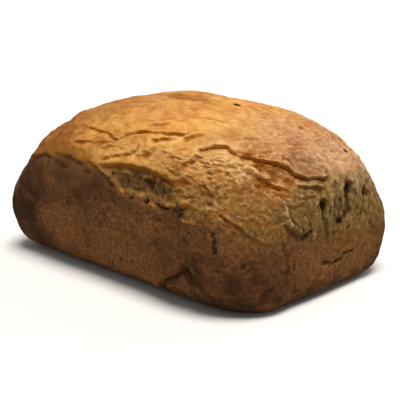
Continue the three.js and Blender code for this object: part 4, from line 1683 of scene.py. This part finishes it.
class Signal:
    """A number socket that takes part in Python sums, so that shader maths reads as maths."""

    def __init__(self, kit: "NodeKit", socket: bpy.types.NodeSocket) -> None:
        self.kit = kit
        self.socket = socket

    def _with(self, operation: str, first: Any, second: Any) -> "Signal":
        """A Math node on two values."""
        node = self.kit.node("ShaderNodeMath", {"operation": operation}, {0: first, 1: second})
        return Signal(self.kit, node.outputs[0])

    def __add__(self, other: Any) -> "Signal":
        """The sum."""
        return self._with("ADD", self, other)

    def __radd__(self, other: Any) -> "Signal":
        """The sum, from the right."""
        return self._with("ADD", other, self)

    def __sub__(self, other: Any) -> "Signal":
        """The difference."""
        return self._with("SUBTRACT", self, other)

    def __rsub__(self, other: Any) -> "Signal":
        """The difference, from the right."""
        return self._with("SUBTRACT", other, self)

    def __mul__(self, other: Any) -> "Signal":
        """The product."""
        return self._with("MULTIPLY", self, other)

    def __rmul__(self, other: Any) -> "Signal":
        """The product, from the right."""
        return self._with("MULTIPLY", other, self)

    def size(self) -> "Signal":
        """The value without its sign."""
        return self._with("ABSOLUTE", self, 0.0)

    def most(self, other: Any) -> "Signal":
        """The larger of two values."""
        return self._with("MAXIMUM", self, other)

    def between(self, amounts: Span) -> "Signal":
        """The first amount where the value is 0, and the second more where it is 1."""
        return amounts[0] + amounts[1] * self

    def ease(self, low: float, high: float) -> "Signal":
        """The value eased between two limits.

        Args:
            low: Where the result is 0.
            high: Where it is 1.

        Returns:
            The eased value.
        """
        node = self.kit.node(
            "ShaderNodeMapRange",
            {"interpolation_type": "SMOOTHSTEP"},
            {"Value": self, "From Min": low, "From Max": high, "To Min": 0.0, "To Max": 1.0},
        )
        return Signal(self.kit, node.outputs["Result"])


@dataclass(frozen=True)
class Texture:
    """A pattern of chance values about 0.5, or from 0 to 1 where it is eased over a span.

    pitch is the size of its lumps in millimetres, detail how many finer layers they have,
    rough the strength of each, warp how far they are stirred, and stretch how long the lumps
    are along each axis, in pitches.
    """

    pitch: float
    detail: float
    warp: float = 0.0
    rough: float = 0.5
    stretch: Place = (1.0, 1.0, 1.0)
    span: Span | None = None


class NodeKit:
    """Makes the nodes of one material."""

    # The numbers of the Mix node's sockets where it blends colours.
    MIX_SHARE = 0
    MIX_FIRST = 6
    MIX_SECOND = 7
    MIX_RESULT = 2

    def __init__(self, material: bpy.types.Material) -> None:
        """Start on an empty node tree."""
        material.use_nodes = True
        self.tree = material.node_tree
        self.tree.nodes.clear()

    def node(
        self, kind: str, settings: Mapping[str, Any], inputs: Mapping[Any, Any]
    ) -> bpy.types.Node:
        """Make a node.

        Args:
            kind: The node's type name.
            settings: Properties, set before the sockets.
            inputs: Values, Signals or sockets by the input's name or number.

        Returns:
            The node.
        """
        made = self.tree.nodes.new(kind)
        for name, value in settings.items():
            setattr(made, name, value)
        for name, value in inputs.items():
            self._feed(made.inputs[name], value)
        return made

    def _feed(self, socket: bpy.types.NodeSocket, value: Any) -> None:
        """Link or set one input.

        Args:
            socket: The input.
            value: A Signal or socket to link, or a value to set.
        """
        if isinstance(value, Signal):
            value = value.socket
        if isinstance(value, bpy.types.NodeSocket):
            self.tree.links.new(value, socket)
        elif socket.type == "RGBA":
            socket.default_value = (*value, 1.0)
        else:
            socket.default_value = value

    def layer(self, layer: Layer) -> Signal:
        """What is painted on the skin."""
        node = self.node("ShaderNodeAttribute", {"attribute_name": layer.value}, {})
        return Signal(self, node.outputs["Fac"])

    def millimetres(self, stretch: Place) -> bpy.types.NodeSocket:
        """Object coordinates in millimetres, each divided by its stretch."""
        place = self.node("ShaderNodeTexCoord", {}, {}).outputs["Object"]
        scale = tuple(1.0 / (MM * part) for part in stretch)
        return self.node("ShaderNodeMapping", {}, {"Vector": place, "Scale": scale}).outputs[0]

    def chance(self, texture: Texture) -> Signal:
        """The values of a pattern of chance values.

        Args:
            texture: The pattern.

        Returns:
            Its values over the surface.
        """
        inputs = {
            "Vector": self.millimetres(texture.stretch),
            "Scale": 1.0 / texture.pitch,
            "Detail": texture.detail,
            "Distortion": texture.warp,
            "Roughness": texture.rough,
        }
        node = self.node("ShaderNodeTexNoise", {"noise_dimensions": "3D"}, inputs)
        values = Signal(self, node.outputs["Fac"])
        return values if texture.span is None else values.ease(*texture.span)

    def blend(self, share: Any, first: Any, second: Any, mode: str = "MIX") -> bpy.types.NodeSocket:
        """Blend two colours.

        Args:
            share: How much of the second there is.
            first: A colour, or a socket that gives one.
            second: The same.
            mode: How the second is laid over the first.

        Returns:
            The socket of the blend.
        """
        node = self.node(
            "ShaderNodeMix",
            {"data_type": "RGBA", "blend_type": mode, "clamp_factor": True},
            {self.MIX_SHARE: share, self.MIX_FIRST: first, self.MIX_SECOND: second},
        )
        return node.outputs[self.MIX_RESULT]

    def bump(
        self, height: Signal, depth: float, below: bpy.types.NodeSocket | None = None
    ) -> bpy.types.NodeSocket:
        """Raise the surface.

        Args:
            height: The relief, from 0 to 1.
            depth: What a height of 1 is, in millimetres.
            below: The normal of the relief that this one lies on.

        Returns:
            The socket of the normal.
        """
        inputs = {"Strength": 1.0, "Distance": depth * MM, "Height": height}
        if below is not None:
            inputs["Normal"] = below
        return self.node("ShaderNodeBump", {}, inputs).outputs["Normal"]

    def surface(self, inputs: Mapping[str, Any]) -> None:
        """End the tree in one Principled shader with these inputs."""
        shader = self.node("ShaderNodeBsdfPrincipled", {}, inputs)
        self.node("ShaderNodeOutputMaterial", {}, {"Surface": shader.outputs[0]})


# ---------------------------------------------------------------------- Finishes


@dataclass(frozen=True)
class Border:
    """Where a finish starts and where it is full, as values of its layer, and how ragged."""

    start: float
    full: float
    ragged: float

    def share(self, layer: Signal, chance: Signal) -> Signal:
        """How much of the finish there is.

        Args:
            layer: The values of its layer.
            chance: Chance values about 0, which stir its border.

        Returns:
            The share, from 0 to 1.
        """
        return (layer + self.ragged * chance).ease(self.start, self.full)


@dataclass(frozen=True)
class CrustFinish:
    """Baked rye crust: satin gold on top, matte brown walls, torn olive crumb."""

    gold: Colour = (0.72, 0.370, 0.080)
    orange: Colour = (0.70, 0.300, 0.072)
    amber: Colour = (0.220, 0.066, 0.003)
    # Laid over the gold for its mottle and its dark patches, which are partly painted shade.
    toast_and_shade: Colour = (0.70, 0.52, 0.34)
    tan: Colour = (0.44, 0.250, 0.115)
    honey: Colour = (0.255, 0.138, 0.031)
    # Painted highlights on the crests and in the highlight patches, pinker on the tan right.
    highlight_cream: Colour = (0.78, 0.48, 0.17)
    pink_highlight_cream: Colour = (0.74, 0.50, 0.32)
    shoulder: Colour = (0.200, 0.092, 0.016)
    brown: Colour = (0.165, 0.067, 0.022)
    # Also the painted shade in the creases of the walls.
    dark_brown: Colour = (0.055, 0.023, 0.0092)
    warm_brown: Colour = (0.230, 0.092, 0.027)
    late: Colour = (0.235, 0.132, 0.033)
    olive: Colour = (0.130, 0.076, 0.024)
    pale_olive: Colour = (0.300, 0.188, 0.062)
    dark_olive: Colour = (0.052, 0.030, 0.010)
    # Painted shade in the creases and under the lips, then its darkest core.
    crease: Colour = (0.300, 0.084, 0.004)
    core_shade: Colour = (0.100, 0.026, 0.003)
    # Painted shade in holes and pits.
    hole: Colour = (0.016, 0.010, 0.004)
    dry_roughness: float = 0.90
    specular: float = 0.06
    coat_roughness: float = 0.40
    lump_depth: float = 1.6
    grit_depth: float = 0.4
    crinkle_depth: float = 0.45

    # The patterns of chance values in the bake, the torn crumb, the painted glints, the gloss and
    # the relief.
    RAGGED = Texture(3.0, 4.0)
    SAND = Texture(2.0, 4.0, warp=0.5, span=(0.3, 0.7))
    GLINTS = Texture(2.0, 4.0, warp=0.8, stretch=(1.5, 1.5, 1.0), span=(0.46, 0.66))
    CRINKLES = Texture(3.4, 3.0, warp=0.8, stretch=(1.5, 1.5, 1.0))
    ORANGE_PATCHES = Texture(34.0, 3.0, span=(0.38, 0.66))
    MOTTLE = Texture(7.0, 6.0, warp=0.8, rough=0.65, stretch=(1.6, 1.2, 1.0), span=(0.40, 0.62))
    RED_PATCHES = Texture(9.0, 5.0, rough=0.6, span=(0.34, 0.62))
    BLOTCHES = Texture(16.0, 6.0)
    WARM_PATCHES = Texture(12.0, 6.0)
    SPECKLES = Texture(2.0, 4.0, warp=0.4, stretch=(1.2, 1.2, 1.6), span=(0.30, 0.66))
    CLUSTERS = Texture(22.0, 2.0, span=(0.45, 0.62))
    FLECKS = Texture(2.4, 3.0, stretch=(1.0, 1.0, 1.6), span=(0.61, 0.69))
    STRANDS = Texture(2.4, 4.0, warp=0.5, stretch=(1.0, 1.0, 3.5), span=(0.32, 0.68))
    CRUMB = Texture(5.0, 3.0, span=(0.42, 0.58))
    DULL_PATCHES = Texture(5.0, 4.0)
    GLOSSY_PATCHES = Texture(9.0, 3.0)
    LUMPS = Texture(4.2, 4.0, warp=0.6)
    GRIT = Texture(1.3, 3.0)

    # The ragged borders between the finishes.
    SHOULDER_BORDER = Border(0.08, 0.42, ragged=0.30)
    GOLD_BORDER = Border(0.38, 0.95, ragged=0.30)
    LATE_BORDER = Border(0.10, 1.0, ragged=0.9)
    TORN_BORDER = Border(0.20, 0.95, ragged=1.5)
    HOLE_BORDER = Border(0.25, 0.9, ragged=0.5)

    # The values of a layer or a sum between which it takes hold.
    SHINE_SPAN = (0.45, 1.0)
    SUNKEN_SPAN = (0.05, 0.5)
    DARK_SPAN = (0.34, 0.84)
    WARM_SPAN = (0.50, 0.95)
    SLOPE_SPAN = (0.05, 1.0)
    CORE_SPAN = (0.6, 1.0)
    GOLDEN_SHADE_SPAN = (0.1, 0.5)
    CRINKLE_SPAN = (0.0, 0.18)

    # How much there is where a value is 0, and how much more where it is 1.
    SHINE_POLISH = (0.14, 0.34)
    COAT_WEIGHT = (0.06, 0.45)
    CREST_GRAIN = (0.3, 0.7)
    HIGHLIGHT_AMOUNT = (0.46, 0.30)
    SLOPE_SHADE = (0.15, 0.80)
    VALLEY_SHADE = (0.42, 0.12)
    SPECKLED = (0.86, 0.14)
    RELIEF = (0.10, 0.90)

    # How strongly each covers what is under it.
    DULL_COVER = 0.45
    LATE_COVER = 0.8
    SAND_COVER = 0.5
    RIDGE_COVER = 0.65
    CRINKLE_COVER = 0.12
    PINK_COVER = 0.4
    CRUMB_COVER = 0.8
    SLOPE_CORE_COVER = 0.5
    CREASE_COVER = 0.95
    CREASE_CORE_COVER = 0.7
    AMBER_COVER = 0.95
    HONEY_COVER = 0.90
    TAN_COVER = 0.85
    MOTTLE_COVER = 0.8
    TOAST_AND_SHADE_COVER = 0.8
    RED_COVER = 0.5
    DARK_COVER = 0.42
    BLOTCH_COVER = 0.8
    WARM_COVER = 0.5
    FLECK_COVER = 0.85

    # How much the amber takes from the gloss and from the painted highlight, and the painted
    # highlight from the painted shade and from the honey.
    AMBER_DULLS = 0.8
    AMBER_HIDES = 0.85
    HIGHLIGHT_LIGHTENS = 0.6
    HIGHLIGHT_HIDES = 0.45

    def apply(self, piece: bpy.types.Object) -> None:
        """Dress the crust.

        Args:
            piece: The crust.
        """
        material = bpy.data.materials.new("rye_crust")
        kit = NodeKit(material)
        shine = kit.layer(Layer.GOLD).ease(*self.SHINE_SPAN)
        polish = shine * kit.chance(self.DULL_PATCHES).between(self.SHINE_POLISH)
        kit.surface(
            {
                "Base Color": self._colour(kit),
                "Roughness": self.dry_roughness - polish,
                "Specular IOR Level": self.specular,
                "Coat Weight": shine * self._coat(kit),
                "Coat Roughness": self.coat_roughness,
                "Normal": self._normal(kit),
            }
        )
        piece.data.materials.clear()
        piece.data.materials.append(material)

    def _coat(self, kit: NodeKit) -> Signal:
        """The gloss of the gold: patchy, less on the amber, none in the folds.

        Args:
            kit: Makes the nodes.

        Returns:
            The weight of the coat.
        """
        sunken = kit.layer(Layer.SLOPE).most(kit.layer(Layer.CREASE)).most(kit.layer(Layer.HOLE))
        clear = 1.0 - self.AMBER_DULLS * kit.layer(Layer.AMBER)
        clear = clear * (1.0 - sunken.ease(*self.SUNKEN_SPAN))
        return clear * kit.chance(self.GLOSSY_PATCHES).between(self.COAT_WEIGHT)

    def _colour(self, kit: NodeKit) -> bpy.types.NodeSocket:
        """Bake, torn crumb and sand, then painted highlights and painted shade in folds and holes.

        Args:
            kit: Makes the nodes.

        Returns:
            The socket of the colour.
        """
        ragged = kit.chance(self.RAGGED) - 0.5
        gold = kit.layer(Layer.GOLD)
        low = self.SHOULDER_BORDER.share(gold, ragged)
        colour = kit.blend(low, self._brown(kit), self.shoulder)
        colour = kit.blend(self.GOLD_BORDER.share(gold, ragged), colour, self._gold(kit))
        late = self.LATE_BORDER.share(kit.layer(Layer.OLIVE), ragged)
        # The dark layer, partly painted shade, darkens the late crust too.
        dull = kit.blend(kit.layer(Layer.DARK) * self.DULL_COVER, self.late, self.dark_olive)
        colour = kit.blend(late * self.LATE_COVER, colour, dull)
        torn = self.TORN_BORDER.share(kit.layer(Layer.TORN), ragged)
        colour = kit.blend(torn, colour, self._torn(kit))
        sand = kit.chance(self.SAND)
        sandy = 1.0 - kit.layer(Layer.SANDY) * self.SAND_COVER * (1.0 - sand)
        colour = kit.blend(1.0, colour, sandy, "MULTIPLY")
        # Painted highlights on the crests and in the highlight patches.
        colour = kit.blend(self._highlight_share(kit, sand, torn), colour, self._highlight_colour(kit))
        colour = self._shaded(kit, colour, late.most(torn))
        # Painted shade in holes and pits, and at the middle of the deepest creases.
        hole = self.HOLE_BORDER.share(kit.layer(Layer.HOLE), ragged)
        return kit.blend(hole, colour, self.hole)

    def _highlight_share(self, kit: NodeKit, sand: Signal, torn: Signal) -> Signal:
        """The share of painted highlight on the crests, the crinkles and the highlight patches.

        Args:
            kit: Makes the nodes.
            sand: The fine grain of the crust.
            torn: Where the crumb is torn.

        Returns:
            The share of the painted highlight colour.
        """
        # Painted highlights on the crinkles, on the crests of the relief and in the highlight
        # patches.
        crinkles = self._crinkles(kit) * kit.layer(Layer.CRINKLED) * self.CRINKLE_COVER
        crest = kit.layer(Layer.RIDGE) * self.RIDGE_COVER + crinkles
        painted_highlight = kit.layer(Layer.HIGHLIGHT) * kit.chance(self.GLINTS).between(self.HIGHLIGHT_AMOUNT)
        crest = crest * sand.between(self.CREST_GRAIN) + painted_highlight
        crest = crest * kit.layer(Layer.GOLD) * (1.0 - torn)
        return crest * (1.0 - self.AMBER_HIDES * kit.layer(Layer.AMBER))

    def _highlight_colour(self, kit: NodeKit) -> bpy.types.NodeSocket:
        """The colour of the painted highlights, pinker on the tan right."""
        pink = kit.layer(Layer.TAN).most(kit.layer(Layer.HONEY) * self.PINK_COVER)
        return kit.blend(pink, self.highlight_cream, self.pink_highlight_cream)

    def _shaded(self, kit: NodeKit, colour: Any, crumb: Signal) -> bpy.types.NodeSocket:
        """Paint shade on the sides that face down, in the valleys and in the creases.

        Args:
            kit: Makes the nodes.
            colour: The colour without its shade.
            crumb: Where the crust is torn, or tore open late.

        Returns:
            The socket of the shaded colour.
        """
        gold = kit.layer(Layer.GOLD)
        crease = kit.layer(Layer.CREASE)
        deep = kit.blend(gold.ease(*self.GOLDEN_SHADE_SPAN), self.dark_brown, self.crease)
        deep = kit.blend(crumb * self.CRUMB_COVER, deep, self.dark_olive)
        slope = kit.layer(Layer.SLOPE).ease(*self.SLOPE_SPAN)
        outside_highlight = 1.0 - self.HIGHLIGHT_LIGHTENS * kit.layer(Layer.HIGHLIGHT)
        colour = kit.blend(slope * gold.between(self.SLOPE_SHADE) * outside_highlight, colour, deep)
        steepest = slope.ease(*self.CORE_SPAN) * gold * outside_highlight
        colour = kit.blend(steepest * self.SLOPE_CORE_COVER, colour, self.core_shade)
        valley = kit.layer(Layer.VALLEY) * gold.between(self.VALLEY_SHADE)
        colour = kit.blend(valley * outside_highlight, colour, deep)
        colour = kit.blend(crease * self.CREASE_COVER, colour, deep)
        core_shade = crease.ease(*self.CORE_SPAN) * self.CREASE_CORE_COVER
        return kit.blend(core_shade, colour, self.core_shade)

    def _crinkles(self, kit: NodeKit) -> Signal:
        """Fine round ridges that lie along the crust, from 0 in the valleys to 1."""
        return (kit.chance(self.CRINKLES) - 0.5).size().ease(*self.CRINKLE_SPAN)

    def _gold(self, kit: NodeKit) -> bpy.types.NodeSocket:
        """The risen top: gold with orange patches, amber to the left and tan to the right.

        Args:
            kit: Makes the nodes.

        Returns:
            The socket of the colour.
        """
        dark = kit.layer(Layer.DARK)
        colour = kit.blend(kit.chance(self.ORANGE_PATCHES), self.gold, self.orange)
        # Amber: partly a deeper bake, partly painted shade where the dome turns from the light.
        colour = kit.blend(kit.layer(Layer.AMBER) * self.AMBER_COVER, colour, self.amber)
        honey = self.HONEY_COVER - self.HIGHLIGHT_HIDES * kit.layer(Layer.HIGHLIGHT)
        colour = kit.blend(kit.layer(Layer.HONEY) * honey, colour, self.honey)
        colour = kit.blend(kit.layer(Layer.TAN) * self.TAN_COVER, colour, self.tan)
        # Over the gold: the mottle, then the dark layer, partly painted shade in the folds, then
        # red patches in it.
        mottle = kit.chance(self.MOTTLE) * self.MOTTLE_COVER
        red = dark * kit.chance(self.RED_PATCHES) * self.RED_COVER
        for share in (mottle, dark * self.TOAST_AND_SHADE_COVER, red):
            colour = kit.blend(share, colour, self.toast_and_shade, "MULTIPLY")
        return colour

    def _brown(self, kit: NodeKit) -> bpy.types.NodeSocket:
        """The walls: matte brown, darker and warmer in patches, with dark flecks.

        Args:
            kit: Makes the nodes.

        Returns:
            The socket of the colour.
        """
        # The dark layer is partly painted shade: under the lips, along the foot and round the left
        # corner.
        dark = kit.layer(Layer.DARK) * self.DARK_COVER
        dark = dark + self.BLOTCH_COVER * kit.chance(self.BLOTCHES)
        colour = kit.blend(dark.ease(*self.DARK_SPAN), self.brown, self.dark_brown)
        warm = kit.layer(Layer.WARM) * self.WARM_COVER + kit.chance(self.WARM_PATCHES)
        colour = kit.blend(warm.ease(*self.WARM_SPAN), colour, self.warm_brown)
        speckled = kit.chance(self.SPECKLES).between(self.SPECKLED)
        colour = kit.blend(1.0, colour, speckled, "MULTIPLY")
        flecks = kit.chance(self.FLECKS) * kit.chance(self.CLUSTERS)
        return kit.blend(flecks * self.FLECK_COVER, colour, self.hole)

    def _torn(self, kit: NodeKit) -> bpy.types.NodeSocket:
        """Torn crumb: olive strands with dark gaps, paler on the right end.

        Args:
            kit: Makes the nodes.

        Returns:
            The socket of the colour.
        """
        right = kit.layer(Layer.TAN) + kit.layer(Layer.HONEY)
        plain = kit.blend(kit.chance(self.CRUMB), self.olive, self.warm_brown)
        light = kit.blend(right, plain, self.pale_olive)
        return kit.blend(kit.chance(self.STRANDS), self.dark_olive, light)

    def _normal(self, kit: NodeKit) -> bpy.types.NodeSocket:
        """Fine relief: sandy walls, crinkled shoulders, a softer top.

        Args:
            kit: Makes the nodes.

        Returns:
            The socket of the normal.
        """
        sandy = kit.layer(Layer.SANDY).most(kit.layer(Layer.TORN)).between(self.RELIEF)
        normal = kit.bump(kit.chance(self.LUMPS) * sandy, self.lump_depth)
        normal = kit.bump(kit.chance(self.GRIT) * sandy, self.grit_depth, normal)
        crinkles = self._crinkles(kit) * kit.layer(Layer.CRINKLED)
        return kit.bump(crinkles, self.crinkle_depth, normal)


@dataclass(frozen=True)
class FloorFinish:
    """A plain pale studio floor."""

    colour: Colour = (0.80, 0.79, 0.77)
    roughness: float = 0.9

    def apply(self, piece: bpy.types.Object) -> None:
        """Dress the floor.

        Args:
            piece: The floor.
        """
        material = bpy.data.materials.new("studio_floor")
        NodeKit(material).surface({"Base Color": self.colour, "Roughness": self.roughness})
        piece.data.materials.append(material)


# ---------------------------------------------------------------------- Studio


@dataclass(frozen=True)
class SoftLight:
    """A broad, even light from one side, given by where it stands."""

    name: str
    towards: Place
    strength: float
    spread_degrees: float
    colour: Colour = (1.0, 1.0, 1.0)

    def build(self) -> None:
        """Hang the light and aim it at the loaf."""
        lamp = bpy.data.lights.new(self.name, "SUN")
        lamp.energy = self.strength
        lamp.angle = math.radians(self.spread_degrees)
        lamp.color = self.colour
        light = bpy.data.objects.new(self.name, lamp)
        bpy.context.scene.collection.objects.link(light)
        light.rotation_euler = Vector(self.towards).to_track_quat("Z", "Y").to_euler()


@dataclass(frozen=True)
class Studio:
    """The pale floor, the soft lights, and the camera.

    The camera stands at distance from target, turned from the loaf's front by azimuth
    and raised by elevation.
    """

    floor_half_width: float = 9000.0
    target: Place = (6.42, 2.06, 38.55)
    azimuth: float = 45.43
    elevation: float = 15.19
    roll: float = -0.71
    distance: float = 570.1
    focal_length: float = 81.0
    sensor_width: float = 36.0
    sky_strength: float = 0.30
    sky_colour: Colour = (1.0, 0.99, 0.97)
    lights: tuple[SoftLight, ...] = (
        SoftLight("key", (0.22, -0.06, 1.0), 3.5, 32.0, (1.0, 0.97, 0.93)),
        SoftLight("sheen", (0.10, 1.0, 0.45), 0.6, 40.0, (1.0, 0.98, 0.96)),
    )

    def build(self) -> None:
        """Set up everything round the loaf."""
        self._floor()
        self._sky()
        for light in self.lights:
            light.build()
        self._camera()

    def _floor(self) -> None:
        """A wide plain floor under the loaf."""
        deselect_all()
        bpy.ops.mesh.primitive_plane_add(size=2.0 * self.floor_half_width * MM)
        floor = bpy.context.active_object
        floor.name = "studio_floor"
        FloorFinish().apply(floor)

    def _sky(self) -> None:
        """Even pale light from all round."""
        world = bpy.data.worlds.new("studio_sky")
        world.use_nodes = True
        background = world.node_tree.nodes["Background"]
        background.inputs["Color"].default_value = (*self.sky_colour, 1.0)
        background.inputs["Strength"].default_value = self.sky_strength
        bpy.context.scene.world = world
        bpy.context.scene.view_settings.view_transform = "Standard"

    def _camera(self) -> None:
        """Place the camera and make it the scene's."""
        turn, rise = math.radians(self.azimuth), math.radians(self.elevation)
        right = Vector((math.cos(turn), math.sin(turn), 0.0))
        level = Vector((math.sin(turn), -math.cos(turn), 0.0)) * math.cos(rise)
        back = level + Vector((0.0, 0.0, math.sin(rise)))
        up = back.cross(right)
        lens = bpy.data.cameras.new("studio_camera")
        lens.lens = self.focal_length
        lens.sensor_width = self.sensor_width
        camera = bpy.data.objects.new("studio_camera", lens)
        bpy.context.scene.collection.objects.link(camera)
        stand = Matrix((right, up, back)).transposed().to_4x4()
        stand = stand @ Matrix.Rotation(math.radians(self.roll), 4, "Z")
        stand.translation = (Vector(self.target) + back * self.distance) * MM
        camera.matrix_world = stand
        bpy.context.scene.camera = camera


# ---------------------------------------------------------------------- Assembly


def report(piece: bpy.types.Object) -> None:
    """Log the size and the number of faces of a finished piece.

    Args:
        piece: The piece.
    """
    size = ", ".join(f"{side / MM:.1f}" for side in piece.dimensions)
    LOG.info("%s: %s mm, %d faces", piece.name, size, len(piece.data.polygons))


def main() -> None:
    """Build the studio and the loaf, and tie the loaf to its body."""
    logging.basicConfig(level=logging.INFO, format="%(name)s: %(message)s")
    Studio().build()
    crust = LoafSkin().build()
    CrustFinish().apply(crust)
    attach(crust, "root")
    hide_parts("loaf")
    report(crust)


if __name__ == "__main__":
    main()
